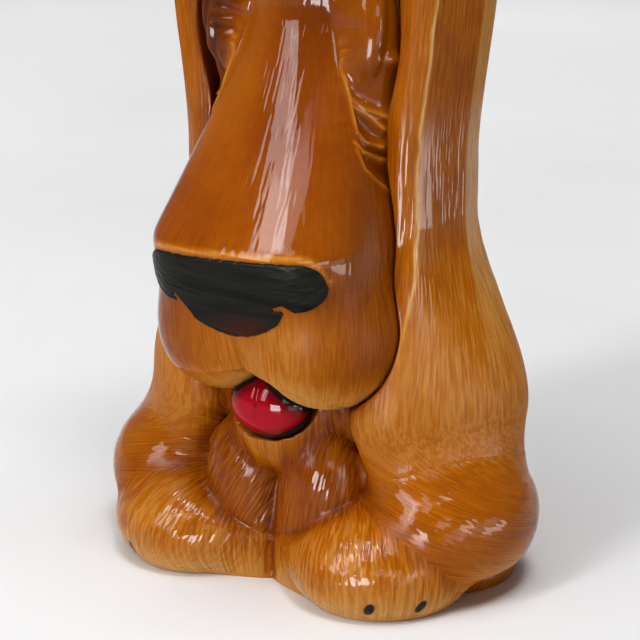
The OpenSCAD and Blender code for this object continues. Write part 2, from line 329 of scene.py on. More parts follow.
def spread(places: Array, lengths: Array, count: int) -> Array:
    """Places set out anew so that equal steps cover equal lengths.

    Args:
        places: the places now.
        lengths: the length between each two neighbours.
        count: how many places to give back.

    Returns:
        The new places, with the same first and last.
    """
    eased = lengths + 0.3 * lengths.mean()
    total = np.concatenate([[0.0], np.cumsum(eased)])
    return np.interp(np.linspace(0.0, total[-1], count), total, places)


def to_line(p: Array, line: tuple[Place, ...]) -> Array:
    """Distance from points to the nearest place on a line of straight runs.

    Args:
        p: points.
        line: the line's places in order.

    Returns:
        One distance per point.
    """
    runs = []
    for start, end in zip(np.array(line[:-1]), np.array(line[1:])):
        along = end - start
        t = unit((p - start) @ along / (along @ along))
        runs.append(np.linalg.norm(p - start - t[..., None] * along, axis=-1))
    return np.min(runs, axis=0)


def resampled(values: Array, v0: Array, u0: Array, v: Array, u: Array) -> Array:
    """A coarse table of values read at new rows and columns, straight between its entries.

    Args:
        values: the table, rows by columns.
        v0: its rows' places.
        u0: its columns' places.
        v: rows to read.
        u: columns to read.

    Returns:
        The values, new rows by new columns.
    """
    i = np.clip(np.searchsorted(v0, v, side="right") - 1, 0, len(v0) - 2)
    j = np.clip(np.searchsorted(u0, u, side="right") - 1, 0, len(u0) - 2)
    ti = ((v - v0[i]) / (v0[i + 1] - v0[i]))[:, None]
    tj = (u - u0[j]) / (u0[j + 1] - u0[j])
    low = mix(values[i][:, j], values[i][:, j + 1], tj)
    high = mix(values[i + 1][:, j], values[i + 1][:, j + 1], tj)
    return mix(low, high, ti)


def normals(points: Array) -> Array:
    """Outward unit normals of a closed grid: the cross product of its two directions.

    Args:
        points: the grid, rows by columns by 3.

    Returns:
        One normal per point.
    """
    du = np.roll(points, -1, axis=1) - np.roll(points, 1, axis=1)
    dv = np.gradient(points, axis=0)
    n = np.cross(du, dv)
    return n / (np.linalg.norm(n, axis=-1, keepdims=True) + 1e-12)


def along_skin(flow: Array, normal: Array) -> Array:
    """A direction laid flat on the skin and made one long."""
    flat = flow - normal * np.sum(flow * normal, axis=-1, keepdims=True)
    return flat / (np.linalg.norm(flat, axis=-1, keepdims=True) + 1e-9)


@dataclass
class Surface:
    """A grid on its way to a mesh: its points and what is painted on each."""

    points: Array
    paints: dict[str, Array] = field(default_factory=dict)

    @property
    def normal(self) -> Array:
        """Outward normals of the grid."""
        return normals(self.points)

    def push(self, height: Array) -> None:
        """Moves each point out along its normal, but leaves both poles alone.

        Args:
            height: how far each point moves, below zero for inwards.
        """
        hold = np.ones(self.points.shape[0])
        hold[[0, 1, -2, -1]] = 0.0
        self.points = self.points + self.normal * (height * hold[:, None])[..., None]

    def blank(self, *names: str) -> None:
        """Leaves the named paints off."""
        self.paints.update({name: np.zeros(self.points.shape[:-1]) for name in names})

    def mesh(self, name: str, side: Side = Side.LEFT) -> bpy.types.Object:
        """Closes the grid into a mesh object: rings of quads between two poles.

        Args:
            name: the object's name.
            side: RIGHT mirrors the points and turns the faces round.

        Returns:
            The new object, linked to the scene.
        """
        rows, cols = self.points.shape[:2]
        place = self.points * np.array([side.value, 1.0, 1.0]) * MM
        co = np.concatenate([place[:1, 0], place[1:-1].reshape(-1, 3), place[-1:, 0]])
        j = np.arange(cols)
        k = (j + 1) % cols
        ring = 1 + np.arange(rows - 3)[:, None] * cols
        quads = np.stack([ring + j, ring + k, ring + cols + k, ring + cols + j], axis=-1).reshape(-1, 4)
        last = len(co) - 1
        end = last - cols
        bottom = np.stack([np.zeros_like(j), 1 + k, 1 + j], axis=-1)
        top = np.stack([np.full_like(j, last), end + j, end + k], axis=-1)
        caps = np.concatenate([bottom, top])
        if side is Side.RIGHT:
            quads, caps = quads[:, ::-1], caps[:, ::-1]
        paints = {
            key: np.concatenate([v[:1, 0], v[1:-1].reshape(-1, *v.shape[2:]), v[-1:, 0]])
            for key, v in self.paints.items()
        }
        return make_object(name, co, quads, caps, paints)


def make_object(name: str, co: Array, quads: Array, triangles: Array, paints: dict[str, Array]) -> bpy.types.Object:
    """Puts points, faces and paint into a new smooth mesh object at the origin.

    Args:
        name: the object's name.
        co: points in metres.
        quads: four point numbers a row.
        triangles: three point numbers a row.
        paints: one value or one vector per point for each attribute's name.

    Returns:
        The object, linked to the scene.
    """
    mesh = bpy.data.meshes.new(name)
    mesh.vertices.add(len(co))
    mesh.vertices.foreach_set("co", co.astype(np.float32).ravel())
    corners = np.concatenate([quads.ravel(), triangles.ravel()]).astype(np.int32)
    starts = np.concatenate([np.arange(len(quads)) * 4, len(quads) * 4 + np.arange(len(triangles)) * 3])
    mesh.loops.add(len(corners))
    mesh.loops.foreach_set("vertex_index", corners)
    mesh.polygons.add(len(starts))
    mesh.polygons.foreach_set("loop_start", starts.astype(np.int32))
    mesh.update(calc_edges=True)
    mesh.shade_smooth()
    for key, values in paints.items():
        kind, part = ("FLOAT", "value") if values.ndim == 1 else ("FLOAT_VECTOR", "vector")
        mesh.attributes.new(key, kind, "POINT").data.foreach_set(part, values.astype(np.float32).ravel())
    thing = bpy.data.objects.new(name, mesh)
    bpy.context.scene.collection.objects.link(thing)
    return thing


@dataclass(frozen=True)
class Hair:
    """Lines of hair over a form: their way at each point, a place that is the same all along a line, and the run."""

    way: Array
    line: Array
    run: Array

    @classmethod
    def straight(cls, p: Array, way: Array, out: Array) -> "Hair":
        """Lines that all run one way, in planes that hold that way and the form's outward direction.

        Args:
            p: points on the skin.
            way: the way of all lines.
            out: outwards from the form.

        Returns:
            The lines at the points.
        """
        beside = np.cross(way, out) / np.linalg.norm(np.cross(way, out))
        line = (p @ beside)[..., None] * np.array([1.0, 0.0, 0.0])
        return cls(np.broadcast_to(way, p.shape), line, p @ way)

    @classmethod
    def turning(cls, p: Array, axis: tuple[float, float], reach: float, fall: float) -> "Hair":
        """Lines in upright planes through one upright axis, at their true spacing at reach from it.

        Args:
            p: points on the skin.
            axis: x and y of the axis.
            reach: where the spacing is true.
            fall: how steeply the lines run down as they run out.

        Returns:
            The lines at the points.
        """
        flat = p[..., :2] - np.array(axis)
        far = np.linalg.norm(flat, axis=-1, keepdims=True) + 1e-6
        level = np.zeros_like(far)
        out = np.concatenate([flat / far, level], axis=-1)
        return cls(out - fall * np.array([0.0, 0.0, 1.0]), out * reach, far[..., 0] - p[..., 2])

    def changed(self, where: Array, other: "Hair") -> "Hair":
        """These lines, and another form's lines where that is set.

        Args:
            where: true where the other form's lines run.
            other: those lines.

        Returns:
            Both sets of lines as one.
        """
        pick = where[..., None]
        way, line = np.where(pick, other.way, self.way), np.where(pick, other.line, self.line)
        return Hair(way, line, np.where(where, other.run, self.run))


@dataclass(frozen=True)
class Comb:
    """How a comb is drawn through soft clay: its pitch, stroke and depth."""

    cell: float = 0.8
    length: float = 9.0
    depth: float = 0.3
    seed: int = 1
    pitch: float = 0.85
    stroke: float = 13.0
    tuft: float = 17.0
    thin: float = 0.5
    full: float = 1.15

    def draw(self, surface: Surface, hair: Hair, where: Array, relief: Array) -> None:
        """Cuts strokes along the hair and records where each point lies among the lines.

        Args:
            surface: the grid that is combed.
            hair: the lines that the comb follows.
            where: how strongly the lines show at each point.
            relief: share of the full depth at each point.
        """
        grain = Grain(self.seed)
        strokes = grain.combed(surface.points, along_skin(hair.way, surface.normal), self.cell, self.length)
        tufts = mix(self.thin, self.full, Grain(self.seed + 50).at(surface.points / self.tuft))
        cut = unit(0.3 - 0.6 * strokes) * tufts
        surface.push(-self.depth * cut * relief)
        surface.paints["groove"] = unit(cut * where)
        surface.paints["fur"] = where * tufts
        surface.paints["strand"] = hair.line / self.pitch
        surface.paints["run"] = hair.run / self.stroke


def mottle(p: Array, size: float, seed: int) -> Array:
    """Uneven spraying: two sizes of solid noise, between about -0.5 and 0.5."""
    grain = Grain(seed)
    return 0.65 * grain.at(p / size) + 0.35 * grain.at(p / (size * 0.37) + 9.0) - 0.5


@dataclass(frozen=True)
class Body:
    """The hollow column that carries everything, from the rump at the floor to the neck inside the head."""

    width: float = 122.0
    neck_w: float = 90.0
    neck_z: float = 262.0
    chest_y: float = 24.0
    throat_y: float = 8.0
    rump_y: float = 78.0
    nape_y: float = 54.0
    back_bow: float = 8.0
    middle_y: float = 24.0
    power: float = 2.3

    def distance(self, p: Array) -> Array:
        """Oblong column: width and depth go from the floor's to the neck's, and the back bows out between.

        Args:
            p: points.

        Returns:
            The distance, below zero inside.
        """
        z = p[..., 2]
        t = unit(z / self.neck_z)
        half_w = mix(self.width, self.neck_w, t ** 1.2) / 2.0
        front = mix(-self.chest_y, -self.throat_y, t)
        back = mix(self.rump_y, self.nape_y, t) + self.back_bow * np.sin(math.pi * t ** 0.6)
        column = oblong(p, half_w, front, back, self.power)
        return np.maximum(np.maximum(column, z - self.neck_z), -z)

    def core(self, t: Array) -> Array:
        """A line up the middle of the column."""
        z = mix(40.0, self.neck_z - 45.0, t)
        return np.stack([0.0 * z, self.middle_y + 0.0 * z, z], axis=-1)


@dataclass(frozen=True)
class Head:
    """The hollow head: skull, brow, cheeks, a snout that flares to the nose, and two jowls."""

    bridge_w: float = 34.0
    bridge_z: float = 270.0
    bridge_y: float = 28.0
    nose_w: float = 102.0
    nose_z: float = 158.0
    nose_y: float = 82.0
    jowl_z: float = 83.0
    snout_back: float = 10.0
    skull: Lump = Lump((0.0, 16.0, 302.0), (54.0, 54.0, 58.0), 22.0)
    cheek: Lump = Lump((0.0, 12.0, 228.0), (50.0, 40.0, 95.0), 7.0)
    jowl: Lump = Lump((25.0, -34.0, 114.0), (30.0, 37.0, 31.0), 10.0)
    bag: Lump = Lump((35.0, -18.0, 240.0), (14.0, 14.0, 30.0), 8.0)
    brow: Lump = Lump((26.0, -20.0, 304.0), (23.0, 17.0, 13.0), 12.0)
    pad: Lump = Lump((31.0, -8.0, 200.0), (17.0, 17.0, 48.0), 4.0)
    nape: Lump = Lump((0.0, 36.0, 262.0), (49.0, 25.0, 34.0), 16.0)
    eye: Lump = Lump((27.0, -25.0, 284.0), (15.0, 15.0, 15.0))
    crests: tuple[tuple[Place, ...], ...] = (
        ((20, -27, 254), (27, -30, 234), (26, -30, 228), (31, -31, 216), (35, -33, 203), (38, -30, 198),
         (41, -23, 195), (43, -15, 193)),
        ((31, -31, 216), (35, -27, 211), (43, -20, 207)),
        ((32, -31, 213), (37, -26, 208), (42, -21, 202)),
        ((36, -36, 199), (39, -33, 195), (41, -24, 190), (43, -16, 187)),
        ((37, -36, 196), (41, -35, 188), (43, -27, 181), (45, -19, 175)),
        ((27, -30, 233), (37, -31, 231), (48, -20, 231)),
    )
    crest_width: float = 6.5
    scoop_depth: float = 3.0
    rim_height: float = 0.5
    worn_height: float = 0.4
    lip_depth: float = 1.1
    fold_depth: float = 1.8
    ground: float = 0.29
    # Below zero is darker; far_cheek and folds are painted shade, and the crest lines a painted highlight
    paler: dict[str, float] = field(default_factory=lambda: {
        "muzzle": 0.25, "hem": 0.2, "lip": 0.4, "worn": 0.32, "mottle": 0.16, "bridge": -0.06, "jowl": 0.05,
        "over_nose": -0.04, "pouch": 0.06, "far_cheek": -0.2, "folds": -0.1, "crown": -0.12,
    })
    pad_z: float = 155.6
    pad_tilt: float = 2.6
    pad_turn: float = 11.1
    pad_axis_y: float = -36.0
    pad_sweep: float = 54.0

    def snout(self, p: Array) -> Array:
        """Oblong column that flares from the bridge to the nose's edge and is cut back below it.

        Args:
            p: points.

        Returns:
            The distance, below zero inside.
        """
        z = p[..., 2]
        ramp = np.maximum(0.0, (self.bridge_z - z) / (self.bridge_z - self.nose_z))
        under = np.maximum(0.0, (self.nose_z - z) / (self.nose_z - self.jowl_z))
        slope = -self.bridge_y - (self.nose_y - self.bridge_y) * ramp ** 1.65
        front = corner(slope, -self.nose_y + 26.0 * under ** 1.4, 3.0)
        half_w = blend(mix(self.bridge_w, self.nose_w, ramp) / 2.0, self.nose_w / 2.0 + 2.0 - 12.0 * under, 16.0)
        power = 2.0 + 1.2 * np.minimum(1.0, ramp) ** 2
        column = oblong(p, half_w, front, self.snout_back, power)
        return np.maximum(np.maximum(column, z - self.bridge_z - 30.0), self.jowl_z + 20.0 - z)

    def distance(self, p: Array) -> Array:
        """The lumps blended one after another, each with its own fillet.

        Args:
            p: points.

        Returns:
            The distance, below zero inside.
        """
        q = across(p)
        form = self.snout(p)
        order = (
            (self.jowl, q), (self.cheek, p), (self.pad, q), (self.skull, p), (self.brow, q), (self.nape, p),
            (self.bag, q),
        )
        for lump, where in order:
            form = blend(form, lump.distance(where), lump.fillet)
        return form

    def clay(self, p: Array) -> Array:
        """The head with its two eye sockets scooped out."""
        return corner(self.distance(p), SLIP - self.eye.distance(across(p)), 1.5)

    def core(self, t: Array) -> Array:
        """A line from between the jowls to the middle of the skull."""
        return np.stack([0.0 * t, mix(-42.0, -13.0, t), mix(112.0, 300.0, t)], axis=-1)

    def scoops(self, p: Array) -> Array:
        """Pouches under the eye: scoops between thin crests that leave the snout's edge and sag outwards.

        A scoop is 0 on a crest, grows as a parabola with the distance to the nearest crest and is 1 past the crest's
        width. All scoops lie behind the snout's edge and end before the nape.

        Args:
            p: points on the skin.

        Returns:
            How deep in a scoop each point lies, 0 to 1.
        """
        q = across(p)
        y, z = q[..., 1], q[..., 2]
        near = np.min([to_line(q, crest) for crest in self.crests], axis=0)
        scoop = 1.0 - (1.0 - unit(near / self.crest_width)) ** 2
        edge = np.interp(z, [178.0, 190.0, 203.0, 234.0, 254.0], [-28.0, -36.0, -33.0, -30.0, -27.0])
        zone = ease(y - edge, -1.0, 4.0) * ease(z, 174.0, 184.0) * ease(266.0 - z, 0.0, 12.0)
        return scoop * zone * ease(-y, -12.0, 8.0) * ease(q[..., 0], 14.0, 22.0)

    def behind_edge(self, p: Array) -> Array:
        """1 past the snout's edge, towards the ear, and 0 on the snout, by the edge's x at each height."""
        edge = np.interp(p[..., 2], [195.0, 203.0, 216.0, 234.0, 254.0], [41.0, 35.0, 31.0, 27.0, 20.0])
        return ease(np.abs(p[..., 0]) - edge, 0.0, 4.0) * ease(p[..., 2], 192.0, 204.0) * ease(-p[..., 1], -10.0, 6.0)

    def cheek_folds(self, p: Array) -> Array:
        """Two upright folds in the cheek of the dog's right side, 0 to 1.

        Args:
            p: points on the skin.

        Returns:
            How deep in a fold each point lies.
        """
        lean = p[..., 0] + 0.12 * (230.0 - p[..., 2])
        folds = np.maximum(bump(lean, -36.5, 1.5), bump(lean, -43.0, 1.5))
        return folds * self.behind_edge(p) * ease(262.0 - p[..., 2], 0.0, 14.0)

    def nose_edge(self, s: Array) -> Array:
        """Height of the nose pad's upper edge: straight, a little tilted, turned down steeply at both ends."""
        return self.pad_z + self.pad_tilt * s - self.pad_turn * np.minimum(np.abs(s), 1.0) ** 11

    def lip(self, p: Array) -> Array:
        """The rubbed pale line along the upper edge of the nose pad, 0 to 1."""
        s = np.degrees(np.arctan2(p[..., 0], self.pad_axis_y - p[..., 1])) / self.pad_sweep
        return bump(p[..., 2] - self.nose_edge(s), 1.6, 1.3) * ease(1.1 - np.abs(s), 0.0, 0.12)

    def worn_crests(self, p: Array) -> Array:
        """A thin pale line along each crest but the last, 0 to 1, fading towards the eye: painted highlight over thin
        glaze.
        """
        lines = [bump(to_line(across(p), crest), 0.0, 0.9) for crest in self.crests[:-1]]
        return np.max(lines, axis=0) * ease(244.0 - p[..., 2], 0.0, 12.0)

    def philtrum(self, p: Array) -> Array:
        """The groove down the middle of the upper lip, 0 to 1."""
        return bump(p[..., 0], 0.0, 1.5) * ease(124.0 - p[..., 2], 0.0, 6.0) * ease(-p[..., 1], 40.0, 50.0)

    def muzzle(self, p: Array) -> Array:
        """1 on the pale front of the jowls, 0 above the nose and at both sides.

        Args:
            p: points on the skin.

        Returns:
            The share of pale spray at each point.
        """
        x, y, z = p[..., 0], p[..., 1], p[..., 2]
        front = ease(150.0 - z, 0.0, 26.0) * ease(-y, 22.0, 58.0)
        return front * ease(56.0 - x, 0.0, 30.0) * ease(42.0 + x, 0.0, 50.0)

    def comb(self, surface: Surface, smooth: Array) -> None:
        """Combs fine hair that runs down the head and fans out below the nose.

        Args:
            surface: the head's skin.
            smooth: 0 where the comb stays off, else 1.
        """
        p = surface.points
        z = p[..., 2]
        fan = 0.9 * ease(170.0 - z, 0.0, 60.0)
        way = np.stack([fan * p[..., 0] / 45.0, 0.0 * z - 0.15, 0.0 * z - 1.0], axis=-1)
        hair = Hair(way, Hair.turning(p, (0.0, -8.0), 60.0, 1.0).line, z)
        bare = ease(self.distance(p), -6.0, -4.0) * smooth
        low = ease(172.0 - z, 0.0, 40.0)
        Comb(1.0, 9.0, 0.2, 21).draw(surface, hair, bare * mix(0.15, 0.55, low), bare * mix(0.5, 0.8, low))

    def tone(self, p: Array, crest_highlight: Array, folds: Array) -> Array:
        """How pale the glaze is: the ground plus each place's paler or darker share, some of it painted highlight and
        shade.

        Args:
            p: points on the skin.
            crest_highlight: the painted highlight lines along the crests.
            folds: the folds in the cheek.

        Returns:
            The tone, 0 for the darkest glaze and 1 for the palest.
        """
        x, y, z = p[..., 0], p[..., 1], p[..., 2]
        turned = ease(-x, -2.0, 14.0)
        places = {
            "muzzle": self.muzzle(p),
            "hem": ease(108.0 - z, 0.0, 16.0),
            "lip": self.lip(p),
            # painted highlight: a pale line along each crest
            "worn": crest_highlight,
            "mottle": mottle(p, 40.0, 22),
            "bridge": (bump(x, 10.0, 12.0) - 1.3 * turned) * ease(z, 176.0, 206.0),
            "jowl": ease(np.abs(x), 34.0, 46.0) * ease(150.0 - z, 0.0, 30.0),
            "over_nose": turned * ease(184.0 - z, 0.0, 12.0) * ease(z, 152.0, 160.0),
            "pouch": ease(z, 172.0, 196.0) * ease(np.abs(x), 16.0, 30.0) * ease(y, -34.0, -8.0),
            # painted shade: the far cheek is darker
            "far_cheek": self.behind_edge(p) * ease(-x, 0.0, 4.0),
            # painted shade in the two cheek folds
            "folds": folds,
            "crown": ease(z, 300.0, 350.0),
        }
        return unit(self.ground + sum(self.paler[key] * share for key, share in places.items()))

    def satin(self, p: Array) -> Array:
        """How dull the glaze is: on the muzzle, on the snout's flanks and on the jowl of the dog's left side.

        Args:
            p: points on the skin.

        Returns:
            0 for full gloss and 1 for satin.
        """
        x, y, z = p[..., 0], p[..., 1], p[..., 2]
        flank = ease(np.abs(x), 16.0, 22.0) * ease(-30.0 - y, 0.0, 4.0) * ease(z, 196.0, 210.0)
        side = ease(x, 36.0, 44.0) * ease(150.0 - z, 0.0, 14.0)
        return unit(0.7 * self.muzzle(p) + 0.6 * flank + 0.8 * side)

    @staticmethod
    def front_first(u: Array) -> Array:
        """How close the columns stand at each turn: closer in front, and closest at both cheeks."""
        return 0.4 + 1.3 * unit(-np.sin(u)) ** 0.7 + 1.9 * bump(np.sin(u), -0.1, 0.27)

    @staticmethod
    def pouches_first(z: Array) -> Array:
        """How close the rows stand at each height: closest at the pouches."""
        return 1.0 + 1.8 * bump(z, 206.0, 26.0)

    def build(self) -> bpy.types.Object:
        """The head's skin with pouches, philtrum and fine hair, dark above and pale round the mouth.

        Returns:
            The head object.
        """
        surface = Surface(Skin(self.clay, self.core, 376, 264, 0.24, self.front_first, self.pouches_first).grid())
        p = surface.points
        scoop, crest_highlight, folds = self.scoops(p), self.worn_crests(p), self.cheek_folds(p)
        rim = bump(to_line(across(p), self.crests[0]), 0.0, 1.6)
        swell = self.rim_height * rim + self.worn_height * crest_highlight
        surface.push(swell - self.scoop_depth * scoop - self.lip_depth * self.philtrum(p) - self.fold_depth * folds)
        p = surface.points
        self.comb(surface, (1.0 - ease(scoop, 0.05, 0.3)) * (1.0 - rim))
        surface.paints["tone"] = self.tone(p, crest_highlight, folds)
        surface.paints["satin"] = self.satin(p)
        surface.blank("paint")
        return surface.mesh("head_casting")


@dataclass(frozen=True)
class Nose:
    """The black nose: a thin pad wrapped round the snout's front, with a bare hook at each nostril."""

    head: Head
    end_z: float = 144.5
    low_z: float = 119.6
    lobe: float = 38.0
    lobe_drop: float = 11.6
    thickness: float = 1.0
    nostril: float = 32.0
    belly_rise: float = 9.4
    bare_depth: float = 0.6
    root: float = 0.7
    columns: int = 300
    rows: int = 90
    strokes: tuple[Stroke, ...] = (
        ((37.0, 134.6), (33.4, 137.0), 1.5),
        ((33.4, 137.0), (29.6, 136.2), 1.1),
        ((-27.5, 126.0), (-34.5, 134.0), 1.6),
    )

    def edges(self, s: Array) -> tuple[Array, Array]:
        """The pad's lower and upper edge, both a little ragged.

        The lower edge is a belly in the middle and the lower half of a round lobe past each nostril. The upper edge
        is a straight line, a little tilted, that turns down steeply at both ends.

        Args:
            s: place round the snout, -1 at one end of the pad and 1 at the other.

        Returns:
            The heights of the lower and of the upper edge.
        """
        ragged = 0.5 * (Grain(31).at(np.stack([s * 24.0, 0.0 * s, 0.0 * s], axis=-1)) - 0.5)
        sweep = self.head.pad_sweep
        turn = np.abs(s) * sweep
        belly = self.low_z + self.belly_rise * (turn / self.nostril) ** 2.3
        past = unit((turn - self.lobe) / (sweep - self.lobe))
        lobe = self.end_z - (self.lobe_drop - 2.0 * np.sign(s)) * np.sqrt(1.0 - past * past)
        low = mix(belly, lobe, ease(turn, self.nostril - 1.5, self.nostril + 4.0))
        return low + ragged, self.head.nose_edge(s) + ragged

    def build(self) -> bpy.types.Object:
        """The pad: angle round an upright axis by height between its lower and its upper edge.

        Returns:
            The nose object.
        """
        s = np.linspace(-1.0, 1.0, self.columns + 1)[None, :]
        t = np.linspace(0.0, 1.0, self.rows + 1)[:, None]
        low, high = self.edges(s)
        z = mix(low, np.maximum(high, low + 0.05), t)
        sweep = self.head.pad_sweep
        angle = np.radians(sweep) * s + 0.0 * t
        ray = np.stack([np.sin(angle), -np.cos(angle), 0.0 * z], axis=-1)
        start = np.stack([0.0 * z, self.head.pad_axis_y + 0.0 * z, z], axis=-1)
        reach = Skin(self.head.distance, self.head.core, 4, 4).walk(start, ray, np.full(z.shape, 30.0), 60)
        skin = start + ray * reach[..., None]
        bare = np.max([self.slit(s * sweep, z, *stroke) for stroke in self.strokes], axis=0)
        rim = ease(z - low, 0.0, 1.2) * ease(high - z, 0.0, 1.2)
        brush = Grain(32).combed(skin, np.broadcast_to(toward(1.0, 0.0, -0.06), skin.shape), 1.2, 12.0)
        proud = mix(-0.5, self.thickness + 0.06 * brush, rim) * (1.0 - bare) - self.bare_depth * bare
        return self.pad(skin + ray * proud[..., None], skin - ray * self.root)

    def slit(self, angle: Array, z: Array, start: tuple[float, float], end: tuple[float, float], half: float) -> Array:
        """A nostril: a short stroke of bare glaze, by the distance to the line between its two ends.

        Args:
            angle: degrees from the nose's middle.
            z: heights.
            start: angle and height of one end.
            end: angle and height of the other.
            half: half the stroke's width in millimetres.

        Returns:
            1 where the paint is left off, else 0.
        """
        arc = 0.82
        x, y = (angle - start[0]) * arc, z - start[1]
        dx, dy = (end[0] - start[0]) * arc, end[1] - start[1]
        t = unit((x * dx + y * dy) / (dx * dx + dy * dy))
        return ease(half * (1.15 - 0.35 * t) - np.hypot(x - t * dx, y - t * dy), -0.3, 0.3)

    def pad(self, front: Array, back: Array) -> bpy.types.Object:
        """Joins a front and a back sheet of the same grid into one closed pad.

        Args:
            front: points of the front sheet.
            back: points of the back sheet.

        Returns:
            The pad object.
        """
        rows, cols = front.shape[:2]
        count = rows * cols
        number = np.arange(count).reshape(rows, cols)
        a, b, c, d = number[:-1, :-1], number[:-1, 1:], number[1:, 1:], number[1:, :-1]
        sheet = np.stack([a, b, c, d], axis=-1).reshape(-1, 4)
        loop = np.concatenate([number[0, :-1], number[:-1, -1], number[-1, :0:-1], number[:0:-1, 0]])
        after = np.roll(loop, -1)
        wall = np.stack([after, loop, loop + count, after + count], axis=-1)
        quads = np.concatenate([sheet, sheet[:, ::-1] + count, wall])
        co = np.concatenate([front.reshape(-1, 3), back.reshape(-1, 3)]) * MM
        worn = bump(front[..., 0], 8.0, 11.0) * bump(front[..., 2], self.low_z + 5.0, 5.0)
        paints = {"worn": np.concatenate([worn.ravel(), worn.ravel()])}
        return make_object("nose_pad", co, quads, np.zeros((0, 3), np.int64), paints)


@dataclass(frozen=True)
class Mouth:
    """The chin under the jowls and the tongue between them."""

    chin: Lump = Lump((0.0, -31.0, 72.0), (24.0, 22.0, 25.0))
    throat: Lump = Lump((0.0, -21.0, 82.0), (38.0, 17.0, 36.0), 8.0)
    tongue: Lump = Lump((0.0, -44.0, 82.0), (19.0, 13.5, 15.5))
    top_line: float = 3.4
    side_line: float = 0.9
    left_line: float = 2.2

    def jaw(self, p: Array) -> Array:
        """Chin and throat blended."""
        return blend(self.chin.distance(p), self.throat.distance(p), self.throat.fillet)

    def tongue_clay(self, head: Field, body: Field, p: Array) -> Array:
        """The tongue, kept one slip seam clear of the head and of the body."""
        return corner(corner(self.tongue.distance(p), SLIP - head(p), 1.0), SLIP - body(p), 1.0)

    def build_tongue(self, figure: "Figure") -> bpy.types.Object:
        """The tongue's skin with a shallow middle crease and a black line painted round its edge.

        Args:
            figure: the forms that the tongue lies between.

        Returns:
            The tongue object.
        """
        head, body = figure.head.distance, figure.body.distance
        clay = partial(self.tongue_clay, head, body)
        surface = Surface(Skin(clay, point(0.0, -46.0, 76.0), 200, 130).grid())
        p = surface.points
        crease = bump(p[..., 0], 0.5, 1.4) * ease(p[..., 2], 78.0, 88.0)
        surface.push(-0.7 * crease)
        wide = self.side_line + self.left_line * ease(surface.points[..., 0], 8.0, 15.0)
        surface.paints["line"] = np.maximum(
            self.edge_line(surface, head, self.top_line), self.edge_line(surface, self.jaw, wide)
        )
        surface.paints["edge"] = np.maximum(
            self.edge_line(surface, head, 7.0, 5.0), self.edge_line(surface, self.jaw, 5.0, 5.0)
        )
        surface.paints["crease"] = crease
        return surface.mesh("tongue_sprig")

    def edge_line(self, surface: Surface, other: Field, width: Array, soft: float = 0.4) -> Array:
        """Paint along the edge where another form covers the skin.

        The other form's distance, over its slope along the skin, is the way to the edge along the skin.

        Args:
            surface: the painted skin.
            other: distance to the covering form.
            width: width of the line.
            soft: how far its rim fades.

        Returns:
            1 on the line and under the other form, else 0.
        """
        p, step = surface.points, 0.2
        slope = np.stack([other(p + step * a) - other(p - step * a) for a in np.eye(3)], axis=-1) / (2.0 * step)
        slope = slope - surface.normal * np.sum(slope * surface.normal, axis=-1, keepdims=True)
        way = other(p) / np.maximum(np.linalg.norm(slope, axis=-1), 0.15)
        return ease(width - way, -soft / 2.0, soft / 2.0)


@dataclass(frozen=True)
class Eyes:
    """Painted eyeballs under heavy upper lids."""

    head: Head
    lid: float = 3.5
    lid_slope: float = 18.0
    gaze: Place = (0.16, -0.97, -0.12)
    dot: Place = (-0.12, -0.93, 0.22)
    iris: float = 27.0
    pupil: float = 14.0
    dot_size: float = 4.5
    around: int = 120
    ball_rows: int = 80
    lid_rows: int = 90

    def build_eye(self, side: Side) -> bpy.types.Object:
        """A ball with a painted iris, pupil and one white dot that is a painted highlight, by the angle from the gaze.

        Args:
            side: which side it is for.

        Returns:
            The eyeball object.
        """
        ball = self.head.eye
        surface = Surface(Skin(ball.distance, point(*ball.centre), self.around, self.ball_rows).grid())
        out = (surface.points - np.array(ball.centre)) / ball.radii[0]
        angle = angle_from(out, toward(*self.gaze))
        glint = angle_from(out, toward(self.dot[0] * side.value, *self.dot[1:]))
        surface.paints["iris"] = ease(self.iris - angle, -1.0, 1.0)
        surface.paints["pupil"] = np.maximum(ease(self.pupil - angle, -1.0, 1.0), bump(angle, self.iris, 1.6))
        # painted highlight: one white dot on the eye
        surface.paints["glint"] = ease(self.dot_size - glint, -0.8, 0.8)
        return surface.mesh(f"{side.word}_eyeball", side)

    def build_lid(self, side: Side) -> bpy.types.Object:
        """The upper part of a shell round the eyeball: angle round the eye's upright by height above a sloped cut.

        The outer sheet runs from the crown of the lid down to its hem, the hem turns in, and the inner sheet runs
        back up, so the grid closes at the crown on both sheets.

        Args:
            side: which side it is for.

        Returns:
            The eyelid object.
        """
        u = np.linspace(0.0, 2.0 * math.pi, self.around, endpoint=False)[None, :]
        v = np.linspace(0.0, 1.0, self.lid_rows + 1)[:, None]
        centre = np.array(self.head.eye.centre)
        inner = self.head.eye.radii[0] + SLIP
        turn = math.pi * np.abs(2.0 * v - 1.0)
        hem = bump(v, 0.5, 0.06)
        round_hem = np.sqrt(unit(1.0 - bump(v, 0.5, 0.03) ** 2))
        radius = inner + self.lid * (0.5 + 0.5 * np.sign(0.5 - v) * round_hem) + 0.35 * hem
        tilt = (1.0 - turn / math.pi) * math.pi / 2.0
        flat = np.stack([np.sin(tilt) * np.cos(u), np.sin(tilt) * np.sin(u), np.cos(tilt) + 0.0 * u], axis=-1)
        a = math.radians(self.lid_slope)
        lean = np.array([[math.cos(a), 0.0, math.sin(a)], [0.0, 1.0, 0.0], [-math.sin(a), 0.0, math.cos(a)]])
        surface = Surface((centre + (flat * radius[..., None]) @ lean.T)[::-1])
        surface.blank("groove", "fur", "paint")
        surface.paints["tone"] = unit(0.34 + 0.15 * mottle(surface.points, 14.0, 52) - 0.25 * hem[::-1])
        return surface.mesh(f"{side.word}_eyelid_casting", side)


